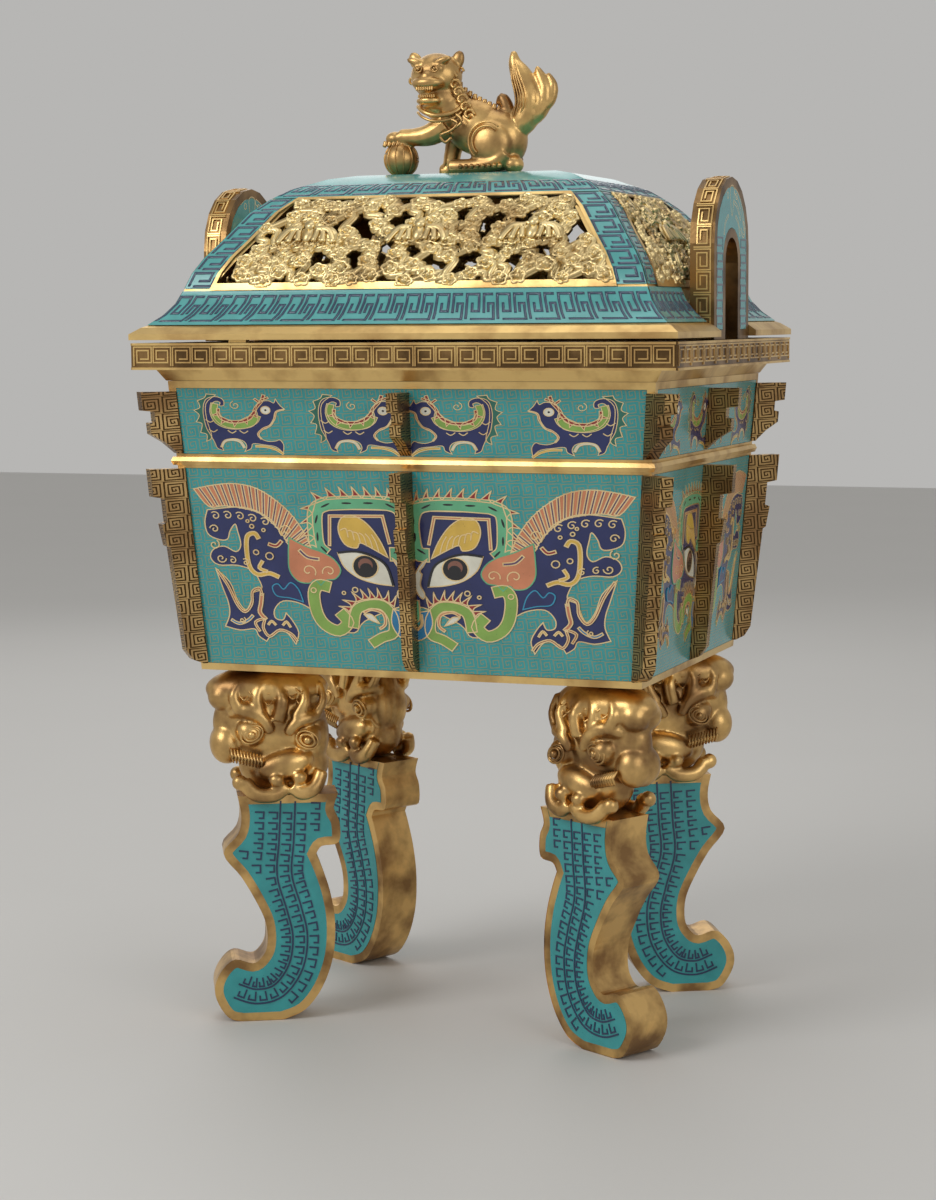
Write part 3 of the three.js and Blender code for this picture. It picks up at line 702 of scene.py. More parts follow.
def make_panels():
    mask, one_bird = mask_half(), bird()
    low = (BODY_BOTTOM_Z + PANEL_MARGIN, BELT_Z - PANEL_MARGIN)
    high = (BELT_Z + PANEL_MARGIN, BODY_TOP_Z - PANEL_MARGIN)
    for side in SIDES:
        for name, board, span, parts in (
            ("mask", MASK_BOARD, low, [(mask, 0.0)]),
            ("birds", FRIEZE_BOARD, high, [(one_bird, place) for place in BIRD_PLACES]),
        ):
            whole = Gathering()
            for mirror in (False, True):
                for drawing, shift in parts:
                    mapping = panel_mapping(side, mirror, board, *span, shift)
                    whole.add(drawing, mapping, flip=mirror)
            whole.finish(f"{name}_enamel_{side}", "vessel")


# Gilt frets

def square_spiral(x0, y0, width, height, turns, step, mirror=False):
    """An angular spiral that starts at a lower corner and winds inwards."""
    left, right, low, high = 0.0, width, 0.0, height
    path = [(left, low)]
    for _ in range(turns):
        path += [(left, high), (right, high), (right, low + step), (left + step, low + step)]
        left, right, low, high = left + step, right - step, low + step, high - step
    if mirror:
        path = [(width - x, y) for x, y in path]
    return [(x0 + x, y0 + y) for x, y in path]


def fret_row(length, height, cells, look="gilt_bright", width=1.15):
    """A row of paired square spirals along a band."""
    row = Drawing()
    cell = length / cells
    gap = 1.8
    for i in range(cells):
        path = square_spiral(i * cell + gap / 2, gap, cell - gap, height - 2 * gap, 2, 2.9, i % 2 == 1)
        row.strip(path, width, -0.2, 0.8, look)
    return row


def make_collar_fret():
    whole = Gathering()
    height = COLLAR_Z[1] - COLLAR_Z[0]
    for side in SIDES:
        along, out = half_of(COLLAR_HALF, side)
        cells = 26 if side in ("front", "back") else 20
        row = fret_row(2 * along - 4, height - 3, cells)
        whole.add(row, lambda x, y, lift: aimed(side, x - along + 2, out + lift, COLLAR_Z[0] + 1.5 + y))
        edge = Drawing()
        for y in (1.0, height - 1.0):
            edge.strip([(1, y), (2 * along - 1, y)], 2.0, -0.2, 1.0, "gilt_bright")
        whole.add(edge, lambda x, y, lift: aimed(side, x - along, out + lift, COLLAR_Z[0] + y))
    whole.finish("collar_key_fret", "vessel")


def handle_arc(length, half, spring, foot):
    """A point on the inverted U's edge, this far from one foot: (across, up, outward direction)."""
    straight = spring - foot
    if length <= straight:
        return -half, foot + length, (-1.0, 0.0)
    turned = (length - straight) / half
    if turned <= math.pi:
        angle = math.pi - turned
        return half * math.cos(angle), spring + half * math.sin(angle), (math.cos(angle), math.sin(angle))
    return half, spring - (length - straight - math.pi * half), (1.0, 0.0)


def make_handle_frets():
    foot = COLLAR_Z[1] + 1
    total = 2 * (HANDLE_SPRING_Z - foot) + math.pi * HANDLE_HALF_WIDTH
    centre = HANDLE_OUTER_X - HANDLE_THICKNESS / 2
    for name, sign in (("left", -1), ("right", 1)):
        whole = Gathering()
        row = fret_row(total, HANDLE_THICKNESS - 3, 18, width=1.1)
        def mapping(x, y, lift):
            across, up, (ox, oz) = handle_arc(x, HANDLE_HALF_WIDTH, HANDLE_SPRING_Z, foot)
            place = sign * (centre + y - HANDLE_THICKNESS / 2 + 1.5)
            return Vector((place, across + ox * lift, up + oz * lift)) * MM

        whole.add(row, mapping, flip=sign < 0)
        whole.finish(f"handle_{name}_key_fret", "vessel")
        make_handle_enamel(name, sign)


def make_handle_enamel(name, sign):
    """The mask motif at the head of the loop and a fret down both jambs, on both broad faces."""
    art = Layers()
    middle = (HANDLE_HALF_WIDTH + HANDLE_OPENING_HALF) / 2
    for side in (-1, 1):
        for step in range(6):
            path = square_spiral(-9, 606 + step * 13, 18, 10, 1, 3.4, step % 2 == 1)
            art.strip([(side * middle + x, y) for x, y in path], 1.6, CELL_LOW, 0.3, "slate")
        art.band([(side * 8, 722), (side * 22, 716), (side * 34, 704), (side * 42, 690)], 5, "navy")
        art.band([(side * 6, 712), (side * 18, 708), (side * 28, 698)], 2.6, "red")
        art.band([(side * 30, 690), (side * 38, 684), (side * 44, 690), (side * 38, 696)], 2.2, "white")
        art.band([(side * 12, 700), (side * 22, 694), (side * 26, 684)], 2.2, "salmon")
        art.dot(side * 14, 717, 2.6, "white")
    art.cell([(-6, 724), (6, 724), (4, 708), (0, 700, 1), (-4, 708)], "green")
    whole = Gathering()
    for outer in (True, False):
        face = HANDLE_OUTER_X if outer else HANDLE_OUTER_X - HANDLE_THICKNESS
        away = sign if outer else -sign
        whole.add(
            art,
            lambda x, y, lift: Vector((sign * face + away * (lift - 0.15), away * x, y)) * MM,
        )
    whole.finish(f"handle_{name}_enamel_motifs", "vessel")


# Cover skins, frets and openwork

def skin_patch(side, insets, edges, look, lift=SKIN_LIFT, steps=24):
    """A smooth skin over one face between two insets; edges gives its two ends at an inset."""
    patch = Drawing()
    stops = sorted({insets[0], insets[1]} | {float(i) for i, _ in COVER_PROFILE if insets[0] < i < insets[1]})
    for inset in stops:
        s0, s1 = edges(inset)
        for step in range(steps + 1):
            patch.vertices.append((s0 + (s1 - s0) * step / steps, inset, lift))
    for row in range(len(stops) - 1):
        for step in range(steps):
            a = row * (steps + 1) + step
            patch.faces.append([a, a + 1, a + steps + 2, a + steps + 1])
            patch.looks.append(look)
    return patch


def dense(path, step):
    """The path with points added so that no stretch is longer than the step."""
    fine = []
    for (x0, y0), (x1, y1) in zip(path, path[1:]):
        parts = max(1, math.ceil(math.hypot(x1 - x0, y1 - y0) / step))
        fine += [(x0 + (x1 - x0) * i / parts, y0 + (y1 - y0) * i / parts) for i in range(parts)]
    fine.append(path[-1])
    return fine


def dragon_fret(length, height, cells, look="slate"):
    """Angular interlocked hooks, as on the cover's band."""
    row = Drawing()
    cell = length / cells
    for i in range(cells):
        x = i * cell
        h = height
        u, v = cell / 10, h / 8
        shapes = [
            [(0.6, 1), (0.6, 7), (4.6, 7), (4.6, 3.2), (2.4, 3.2), (2.4, 5.2)],
            [(2, 1), (9.2, 1), (9.2, 5), (7.6, 5), (7.6, 3)],
            [(6.2, 2.8), (6.2, 7), (9.2, 7)],
        ]
        for shape in shapes:
            path = dense([(x + a * u, b * v) for a, b in shape], 3.0)
            row.strip(path, FRET_STROKE, -0.3, 0.3, look)
    return row


def cover_mapping(side, edges, length0):
    """(share along, length up the profile) to the cover."""
    def mapping(x, y, lift):
        inset = inset_at(length0 + y)
        s0, s1 = edges(inset)
        return cover_point(side, s0 + (s1 - s0) * x, inset, SKIN_LIFT + lift)
    return mapping


def scaled(drawing, length):
    result = Drawing()
    result.vertices = [(x / length, y, z) for x, y, z in drawing.vertices]
    result.faces = drawing.faces
    result.looks = drawing.looks
    return result


def make_cover_enamel():
    whole = Gathering()
    rim = Gathering()
    for side in SIDES:
        along = half_of(COVER_HALF, side)[0]
        regions = []
        if side in ("front", "back"):
            regions.append((BAND_INSETS, lambda i: (-(along - i), along - i), 18))
        else:
            regions.append((BAND_INSETS, lambda i: (-(along - i), -NOTCH_HALF - 2), 4))
            regions.append((BAND_INSETS, lambda i: (NOTCH_HALF + 2, along - i), 4))
        inner = lambda i: along - i - RIB_WIDTH
        regions.append((WINDOW_INSETS, lambda i: (-(along - i), -inner(i)), 1))
        regions.append((WINDOW_INSETS, lambda i: (inner(i), along - i), 1))
        regions.append((CROWN_INSETS, lambda i: (-(along - i), along - i), 9 if side in ("front", "back") else 6))
        for insets, edges, cells in regions:
            patch = skin_patch(side, insets, edges, "cover_turquoise")
            whole.add(patch, lambda s, i, lift: cover_point(side, s, i, lift))
            start, stop = length_at(insets[0]), length_at(insets[1])
            if cells == 1:
                add_rib_fret(whole, side, edges, start, stop)
                continue
            height = stop - start - 2
            if insets == CROWN_INSETS:
                height = 24
            s0, s1 = edges(sum(insets) / 2)
            fret = dragon_fret(s1 - s0, height, max(1, round((s1 - s0) / FRET_CELL)))
            whole.add(scaled(fret, s1 - s0), cover_mapping(side, edges, start + 1))
        for insets in ((35.0, 37.5), (90.5, 93.0)):
            edge_patch = skin_patch(side, insets, lambda i: (-inner(i) - 1, inner(i) + 1), "gilt_bright", 1.6)
            rim.add(edge_patch, lambda s, i, lift: cover_point(side, s, i, lift))
        for sign in (-1, 1):
            strip = lambda i: tuple(sorted((sign * (inner(i) - 2.2), sign * (inner(i) + 1.2))))
            edge_patch = skin_patch(side, WINDOW_INSETS, strip, "gilt_bright", 1.6, 1)
            rim.add(edge_patch, lambda s, i, lift: cover_point(side, s, i, lift))
    whole.finish("cover_enamel", "cover", smooth=True)
    rim.finish("cover_window_frames", "cover", smooth=True)


def add_rib_fret(whole, side, edges, start, stop):
    """Small hooks climbing a corner rib."""
    count = 6
    pitch = (stop - start) / count
    for i in range(count):
        hook = Drawing()
        y = i * pitch
        for shape in (
            [(3, 1), (3, 7), (20, 7), (20, 3.4), (10, 3.4)],
            [(7, 1), (24, 1), (24, 5)],
        ):
            path = dense([(x, y + v * pitch / 8) for x, v in shape], 3.0)
            hook.strip(path, FRET_STROKE, -0.3, 0.3, "slate")
        whole.add(scaled(hook, RIB_WIDTH), cover_mapping(side, edges, start))


def cloud_head(seed):
    """One lobed cloud head with a raised spiral, in a unit disc."""
    head = Drawing()
    lobes = 5 + seed % 2
    rings = ((1.0, 0.0), (1.0, 0.38), (0.9, 0.6), (0.76, 0.62), (0.64, 0.4), (0.5, 0.34), (0.38, 0.6), (0.2, 0.85))
    steps = 30
    for radius, height in rings:
        for step in range(steps):
            angle = 2 * math.pi * step / steps
            r = radius * (0.84 + 0.32 * abs(math.sin(lobes * angle / 2)) * radius)
            head.vertices.append((r * math.cos(angle), r * math.sin(angle), height))
    for ring in range(len(rings) - 1):
        for step in range(steps):
            a = ring * steps + step
            b = ring * steps + (step + 1) % steps
            head.faces.append([a, b, b + steps, a + steps])
            head.looks.append("gilt_openwork")
    head.faces.append([(len(rings) - 1) * steps + step for step in range(steps)])
    head.looks.append("gilt_openwork")
    return head


def scattered(width, height, gap, rng):
    """Places spread over a box, none nearer to another than the gap."""
    places = []
    for _ in range(4000):
        x, y = rng.uniform(0, width), rng.uniform(0, height)
        if all(math.hypot((x - a) * 0.8, y - b) > gap for a, b in places):
            places.append((x, y))
    return places


def openwork(side):
    """Cloud heads joined by bands, pierced between them, on one window."""
    rng = random.Random(SEED + SIDES.index(side) // 2)
    along = half_of(COVER_HALF, side)[0]
    start, stop = length_at(WINDOW_INSETS[0]), length_at(WINDOW_INSETS[1])
    width, height = 2 * (along - WINDOW_INSETS[0] - RIB_WIDTH), stop - start
    whole = Gathering()
    places = scattered(width, height - 8, 12.6, rng)
    heads = [cloud_head(i) for i in range(2)]

    def mapping(x, y, lift):
        inset = inset_at(start + min(max(y, 0.0), height))
        inner = along - inset - RIB_WIDTH
        s = max(-inner, min(inner, x - width / 2))
        return cover_point(side, s, inset, lift - 2.4)

    kept = []
    for x, y in places:
        y += 4
        inner = along - inset_at(start + y) - RIB_WIDTH
        if abs(x - width / 2) < inner - 4:
            kept.append((x, y))
    for number, (x, y) in enumerate(kept):
        radius = rng.uniform(5.4, 7.2)
        turn = rng.uniform(0, 6.28)
        stretch = rng.uniform(1.0, 1.35)

        def placed(u, v, lift):
            du = u * math.cos(turn) - v * math.sin(turn)
            dv = u * math.sin(turn) + v * math.cos(turn)
            return mapping(x + du * radius * stretch, y + dv * radius, lift * 8.5)

        whole.add(heads[number % 2], placed)
        links = Drawing()
        near = sorted(kept, key=lambda p: math.hypot(p[0] - x, p[1] - y))[1:4]
        for a, b in near:
            bend = rng.choice((-4.5, 4.5))
            sway = [(x, y), (x + (a - x) * 0.3 + bend, y + (b - y) * 0.3 + bend * 0.6),
                    (x + (a - x) * 0.7 - bend, y + (b - y) * 0.7 - bend * 0.6), (a, b)]
            path = curved(sway, 4, False)
            links.wire(path, 4.6, 0.0, 2.4, "gilt_openwork", closed=False)
            links.wire(path, 1.6, 2.0, 3.6, "gilt_openwork", closed=False)
        whole.add(links, mapping)
    for x in ([0.22, 0.5, 0.78] if side in ("front", "back") else [0.5]):
        add_bat(whole, mapping, width * x, height * 0.52)
    piece = whole.finish(f"openwork_clouds_{side}", "cover", smooth=True)
    thicken = piece.modifiers.new("Thickness", "SOLIDIFY")
    thicken.thickness = 1.6 * MM
    thicken.offset = -1
    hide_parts(f"openwork_panel_{side}")


def add_bat(whole, mapping, x, y):
    """A bat with spread wings among the clouds."""
    bat = Drawing()
    for sign in (-1, 1):
        wing = curved([(0, 2), (sign * 8, 9), (sign * 18, 10), (sign * 27, 2), (sign * 26, -10, 1),
                       (sign * 21, -3), (sign * 16, -9, 1), (sign * 12, -2), (sign * 7, -8, 1), (sign * 4, -2)], 4)
        bat.prism(wing, 3.2, 5.6, "gilt_openwork")
        for tip in ((sign * 26, -9), (sign * 16, -8), (sign * 7, -7)):
            rib = curved([(sign * 6, 6), ((sign * 6 + tip[0]) / 2 + sign * 2, 5), tip], 4, False)
            bat.wire(rib, 1.8, 5.4, 6.8, "gilt_openwork", closed=False)
    bat.prism(ring_path(0, 1, 5, 8), 3.2, 7.2, "gilt_openwork")
    bat.prism(ring_path(0, 10, 4.4, 4.0), 3.2, 8.2, "gilt_openwork")
    whole.add(bat, lambda u, v, lift: mapping(x + u, y + v, lift))


# Legs

def leg_mapping(sx, sy, outer):
    """Leg drawing (outwards, up, lift) to one broad face of one leg."""
    face = -1 if outer else 1
    def mapping(u, v, lift):
        across = face * (LEG_THICKNESS / 2 + lift)
        x = u * math.cos(LEG_TURN) - across * math.sin(LEG_TURN)
        y = u * math.sin(LEG_TURN) + across * math.cos(LEG_TURN)
        return Vector((sx * (FOOT[0] + x), sy * (FOOT[1] + y), v)) * MM
    return mapping


def well_inside(point, outline):
    """Whether a point lies in the outline, over a millimetre from its edge."""
    x, y = point
    crossings = 0
    for (x0, y0), (x1, y1) in zip(outline, outline[1:] + outline[:1]):
        if (y0 > y) != (y1 > y) and x < x0 + (x1 - x0) * (y - y0) / (y1 - y0):
            crossings += 1
    return crossings % 2 == 1 and min(math.hypot(x - a, y - b) for a, b in outline) > 1.2


def leg_art():
    """Three rows of hooks between long lines that follow the leg's curve."""
    art = Drawing()
    spine = curved(LEG_SPINE, 10, False)
    lengths = [0.0]
    for a, b in zip(spine, spine[1:]):
        lengths.append(lengths[-1] + math.dist(a, b))
    total = lengths[-1]

    def at(length, side):
        place = 0
        while place < len(lengths) - 2 and lengths[place + 1] < length:
            place += 1
        t = (length - lengths[place]) / (lengths[place + 1] - lengths[place])
        (ax, ay), (bx, by) = spine[place], spine[place + 1]
        along = Vector((bx - ax, by - ay)).normalized()
        return (ax + (bx - ax) * t + along.y * side, ay + (by - ay) * t - along.x * side)

    for side in (-6.4, 6.4):
        path = [at(total * i / 60, side) for i in range(61)]
        art.strip(path, 1.5, -0.3, 0.35, "leg_navy")
    _, field = leg_shape()
    pitch = 9.4
    for row in (-36.4, -24.4, -12.4, 0.0, 12.4, 24.4):
        for i in range(int(total / pitch)):
            s = i * pitch + 1
            hook = [at(s, row - 4.2), at(s, row + 3.6), at(s + 5.4, row + 3.6), at(s + 5.4, row - 0.6)]
            if all(well_inside(point, field) for point in hook):
                art.strip(hook, 1.45, -0.3, 0.35, "leg_navy")
    return art


def leg_shape():
    """The leg's smooth outline, and the enamel's edge inside it."""
    corners = {LEG_OUTLINE[0], LEG_OUTLINE[-1], (22, 201.5), (-66, 201.5), (-46, 148)}
    outline = curved([(*p, 1) if p in corners else p for p in LEG_OUTLINE], 4)
    if area_of(outline) < 0:
        outline.reverse()
    inner = []
    for x, y in offsets(outline, LEG_BORDER, True)[0]:
        if min(math.hypot(x - a, y - b) for a, b in outline) > LEG_BORDER - 0.7:
            inner.append((x, y))
    return outline, inner


def make_legs():
    """Each leg is a flat casting with an enamel field sunk in both broad faces."""
    outline, inner = leg_shape()
    field = Drawing()
    field.prism(inner, -0.6, -0.2, "turquoise")
    for corner, sx, sy in CORNERS:
        whole = Gathering()
        outer_map, inner_map = leg_mapping(sx, sy, True), leg_mapping(sx, sy, False)
        body = Drawing()
        body.prism(outline, -LEG_THICKNESS, -0.5, "gilt_cast")
        caps = Drawing()
        caps.prism(outline, -0.6, -0.5, "gilt_cast")
        whole.add(body, outer_map, flip=sx * sy < 0)
        whole.add(caps, inner_map, flip=sx * sy > 0)
        casting = whole.finish(f"leg_casting_{corner}", "vessel")
        casting.data.validate()
        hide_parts(f"leg_{corner}")
        enamel = Gathering()
        enamel.add(field, outer_map, flip=sx * sy < 0)
        enamel.add(field, inner_map, flip=sx * sy > 0)
        piece = enamel.finish(f"leg_enamel_{corner}", "vessel")
        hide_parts(f"leg_inlay_{corner}_outer", f"leg_inlay_{corner}_inner")


def make_leg_art():
    art = leg_art()
    for corner, sx, sy in CORNERS:
        whole = Gathering()
        for outer in (True, False):
            flip = (sx * sy > 0) != outer
            whole.add(art, leg_mapping(sx, sy, outer), flip=flip)
        whole.finish(f"leg_fret_{corner}", "vessel")


# Cast pieces: rounded masses melted together

def mass(parts, name, voxel, smoothing):
    """Joins balls and tubes into one skin by remeshing."""
    bpy.ops.object.select_all(action="DESELECT")
    made = []
    for part in parts:
        if part[0] == "ball":
            _, centre, radii, turn = part
            bpy.ops.mesh.primitive_uv_sphere_add(segments=28, ring_count=18, radius=1.0, location=(0, 0, 0))
            piece = bpy.context.object
            spin = Matrix.Rotation(math.radians(turn[2]), 4, "Z") @ Matrix.Rotation(
                math.radians(turn[1]), 4, "Y") @ Matrix.Rotation(math.radians(turn[0]), 4, "X")
            place = Matrix.Translation(Vector(centre)) @ spin @ Matrix.Diagonal((*radii, 1.0))
            piece.data.transform(place)
        else:
            _, points, radii = part
            piece = tube_object(points, radii)
        made.append(piece)
    bpy.ops.object.select_all(action="DESELECT")
    for piece in made:
        piece.select_set(True)
    bpy.context.view_layer.objects.active = made[0]
    bpy.ops.object.join()
    whole = bpy.context.object
    whole.name = name
    whole.data.transform(Matrix.Diagonal((MM, MM, MM, 1)))
    remesh = whole.modifiers.new("Skin", "REMESH")
    remesh.mode = "VOXEL"
    remesh.voxel_size = voxel * MM
    bpy.ops.object.modifier_apply(modifier=remesh.name)
    ease = whole.modifiers.new("Ease", "SMOOTH")
    ease.iterations = smoothing
    bpy.ops.object.modifier_apply(modifier=ease.name)
    for polygon in whole.data.polygons:
        polygon.use_smooth = True
    return whole


def tube_object(points, radii, sides=12):
    """A closed tube through the points, with a radius at each."""
    path, sizes = [], []
    steps = 4
    for i in range(len(points) - 1):
        p0, p1 = points[max(i - 1, 0)], points[i]
        p2, p3 = points[i + 1], points[min(i + 2, len(points) - 1)]
        for step in range(steps):
            t = step / steps
            path.append(Vector(tuple(catmull(p0[k], p1[k], p2[k], p3[k], t) for k in range(3))))
            sizes.append(radii[i] + (radii[i + 1] - radii[i]) * t)
    path.append(Vector(points[-1]))
    sizes.append(radii[-1])
    vertices, faces = [], []
    for i, centre in enumerate(path):
        ahead = (path[min(i + 1, len(path) - 1)] - path[max(i - 1, 0)]).normalized()
        side = ahead.cross(Vector((0.31, 0.17, 0.93))).normalized()
        other = ahead.cross(side)
        for k in range(sides):
            angle = 2 * math.pi * k / sides
            vertices.append(centre + (side * math.cos(angle) + other * math.sin(angle)) * sizes[i])
    for i in range(len(path) - 1):
        for k in range(sides):
            a, b = i * sides + k, i * sides + (k + 1) % sides
            faces.append([a, b, b + sides, a + sides])
    faces.append(list(range(sides))[::-1])
    faces.append([(len(path) - 1) * sides + k for k in range(sides)])
    mesh = bpy.data.meshes.new("tube")
    mesh.from_pydata([tuple(v) for v in vertices], [], faces)
    piece = bpy.data.objects.new("tube", mesh)
    bpy.context.scene.collection.objects.link(piece)
    return piece


def finish_cast(piece, details, look, body, replaced):
    """Gives a melted piece its look, joins the fine details to it and lets it ride."""
    piece.data.materials.clear()
    piece.data.materials.append(MATERIALS[look])
    bpy.ops.object.select_all(action="DESELECT")
    for points, radii in details:
        tube = tube_object([tuple(c * MM for c in p) for p in points], [r * MM for r in radii], 8)
        for polygon in tube.data.polygons:
            polygon.use_smooth = True
        tube.data.materials.append(MATERIALS[look])
        tube.select_set(True)
    piece.select_set(True)
    bpy.context.view_layer.objects.active = piece
    bpy.ops.object.join()
    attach(piece, body)
    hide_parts(*replaced)


HEAD_MASSES = [
    ("ball", (-8, 0, 264), (50, 23, 42), (0, 0, 0)),
    ("ball", (-6, 0, 294), (54, 27, 20), (0, 0, 0)),
    ("ball", (-20, 0, 226), (40, 23, 26), (0, 0, 0)),
    ("ball", (32, -6, 288), (14, 14, 13), (0, 0, 0)),
    ("ball", (30, -4, 246), (15, 17, 18), (0, 0, 0)),
    ("ball", (-48, -4, 252), (12, 16, 24), (0, 0, 0)),
    ("ball", (-20, -18, 228), (26, 12, 13), (0, 14, 0)),
    ("ball", (-32, -28, 218), (7, 6, 6), (0, 0, 0)),
    ("ball", (-12, -28, 216), (7, 6, 6), (0, 0, 0)),
    ("ball", (10, -20, 258), (13, 12, 11), (0, -30, 0)),
    ("ball", (-40, -19, 252), (12, 11, 10), (0, 30, 0)),
    ("tube", [(-52, -20, 222), (-46, -25, 209), (-34, -26, 204), (-25, -26, 210)], [6, 7, 7, 5]),
    ("tube", [(-22, -25, 210), (-10, -26, 203), (6, -26, 204), (16, -22, 214)], [5, 7, 7, 7]),
    ("ball", (20, -22, 214), (7, 7, 7), (0, 0, 0)),
    ("tube", [(28, -14, 274), (14, -24, 278), (0, -27, 271), (-8, -27, 258)], [4, 7, 6, 4]),
    ("tube", [(-54, -12, 270), (-42, -23, 270), (-30, -27, 266), (-22, -27, 256)], [3, 6, 6, 4]),
    ("tube", [(18, -24, 276), (24, -22, 290), (18, -20, 302)], [6, 5, 2]),
    ("tube", [(2, -26, 274), (4, -25, 290), (-4, -22, 304)], [6, 5, 2]),
    ("tube", [(-14, -26, 268), (-18, -26, 286), (-12, -22, 302)], [6, 6, 2]),
    ("tube", [(-30, -25, 270), (-38, -24, 286), (-34, -20, 302)], [6, 5, 2]),
    ("tube", [(-46, -20, 270), (-54, -18, 284), (-52, -14, 300)], [5, 4, 2]),
]


def opposite(part):
    """The same mass on the leg's other broad face."""
    if part[0] == "ball":
        _, (x, y, z), radii, turn = part
        return "ball", (x, -y, z), radii, turn
    _, points, radii = part
    return "tube", [(x, -y, z) for x, y, z in points], radii


def make_leg_heads():
    """One beast head modelled on the front left leg and mirrored to the others."""
    details = []
    for x, z, lean in ((9, 257, -0.5), (-39, 251, 0.5)):
        for radius, height in ((10.0, 28.0), (6.6, 30.0)):
            ring = []
            for a in range(13):
                u, v = radius * math.cos(a * math.pi / 6), 0.72 * radius * math.sin(a * math.pi / 6)
                ring.append((x + u * math.cos(lean) - v * math.sin(lean), -height,
                             z + u * math.sin(lean) + v * math.cos(lean)))
            details.append((ring, [1.2] * 13))
        details.append(([(x, -28, z), (x, -33.5, z)], [4.6, 2.6]))
    for i in range(10):
        x, z = 26 - 2.8 * i, 238 - 0.7 * i
        details.append(([(x + 1, -21, z + 6), (x, -25.5, z), (x - 1, -22, z - 6)], [0.9, 1.5, 0.9]))
    for row in range(3):
        for i in range(4):
            x = -34 + 14 * i + 7 * (row % 2)
            z = 296 - 5 * row
            scale = [(x - 4, -23.5, z), (x, -26.5, z - 4), (x + 4, -23.5, z)]
            details.append((scale, [0.6, 1.0, 0.6]))
    both = details + [([(x, -y, z) for x, y, z in points], radii) for points, radii in details]
    masses = HEAD_MASSES + [opposite(part) for part in HEAD_MASSES]
    for corner, sx, sy in CORNERS:
        piece = mass(masses, f"beast_head_{corner}", 1.6, 4)
        base = finish_head(piece, both)
        matrix = (
            Matrix.Translation((sx * FOOT[0] * MM, sy * FOOT[1] * MM, 0))
            @ Matrix.Diagonal((sx, sy, 1, 1))
            @ Matrix.Rotation(LEG_TURN, 4, "Z")
        )
        base.data.transform(matrix)
        if sx * sy < 0:
            base.data.flip_normals()
        base.data.update()
        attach(base, "vessel")
        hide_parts(f"leg_head_{corner}")


def finish_head(piece, details):
    piece.data.materials.clear()
    piece.data.materials.append(MATERIALS["gilt_cast"])
    bpy.ops.object.select_all(action="DESELECT")
    for points, radii in details:
        tube = tube_object([tuple(c * MM for c in p) for p in points], [r * MM for r in radii], 8)
        for polygon in tube.data.polygons:
            polygon.use_smooth = True
        tube.data.materials.append(MATERIALS["gilt_cast"])
        tube.select_set(True)
    piece.select_set(True)
    bpy.context.view_layer.objects.active = piece
    bpy.ops.object.join()
    return piece


LION_Z = 739.6
LION_MASSES = [
    ("ball", (24, 0, 30), (27, 21, 27), (0, 0, 0)),
    ("ball", (4, 0, 42), (30, 19, 24), (0, 25, 0)),
    ("ball", (-18, -2, 58), (20, 19, 22), (0, 0, 0)),
    ("ball", (-26, -6, 66), (20, 19, 18), (0, 0, 0)),
    ("ball", (-29, -10, 86), (23, 20, 20), (0, 0, 0)),
    ("ball", (-31, -25, 79), (15, 11, 6.5), (0, 0, 0)),
    ("ball", (-31, -22, 64), (12, 10, 4.5), (0, 0, 0)),
    ("ball", (-31, -28, 85), (6, 5, 4), (0, 0, 0)),
    ("ball", (-21, -26, 91), (5, 4, 4), (0, 0, 0)),
    ("ball", (-41, -24, 91), (5, 4, 4), (0, 0, 0)),
    ("ball", (-18, -25, 98), (9, 4, 3.5), (0, -15, 0)),
    ("ball", (-43, -23, 98), (9, 4, 3.5), (0, 15, 0)),
    ("ball", (-10, -8, 99), (6, 4, 9), (0, 20, 0)),
    ("ball", (-50, -5, 100), (6, 4, 9), (0, -30, 0)),
    ("ball", (22, -15, 26), (20, 11, 20), (0, 0, 0)),
    ("ball", (22, 15, 26), (20, 11, 20), (0, 0, 0)),
    ("tube", [(34, -14, 18), (26, -17, 10), (8, -18, 7), (-14, -18, 7)], [10, 8, 7, 7]),
    ("tube", [(34, 14, 18), (26, 17, 10), (8, 18, 7), (-4, 18, 7)], [10, 8, 7, 7]),
    ("ball", (42, -10, 8), (9, 9, 8), (0, 0, 0)),
    ("tube", [(-16, 10, 44), (-22, 12, 24), (-26, 12, 7), (-34, 12, 5)], [11, 8, 7, 6]),
    ("tube", [(-20, -10, 44), (-34, -12, 36), (-48, -13, 34), (-62, -13, 34)], [12, 10, 8, 7.5]),
    ("ball", (-67, -13, 33), (9, 8, 6.5), (0, 0, 0)),
    ("ball", (-62, -12, 15), (15, 15, 15), (0, 0, 0)),
    ("tube", [(36, 0, 38), (48, 0, 46), (54, 0, 64), (46, 0, 84), (40, 0, 96), (39, 0, 106)], [9, 12, 13, 10, 6, 2.0]),
    ("tube", [(48, 0, 46), (62, 0, 54), (68, 0, 70), (63, 0, 84), (60, 0, 92)], [9, 8, 7, 5, 1.5]),
    ("tube", [(62, 0, 54), (73, 0, 64), (75, 0, 76), (70, 0, 86)], [6, 5, 4, 1.5]),
    ("tube", [(36, 0, 48), (32, 0, 60), (28, 0, 66), (25, 0, 60)], [6, 6, 5, 3]),
]


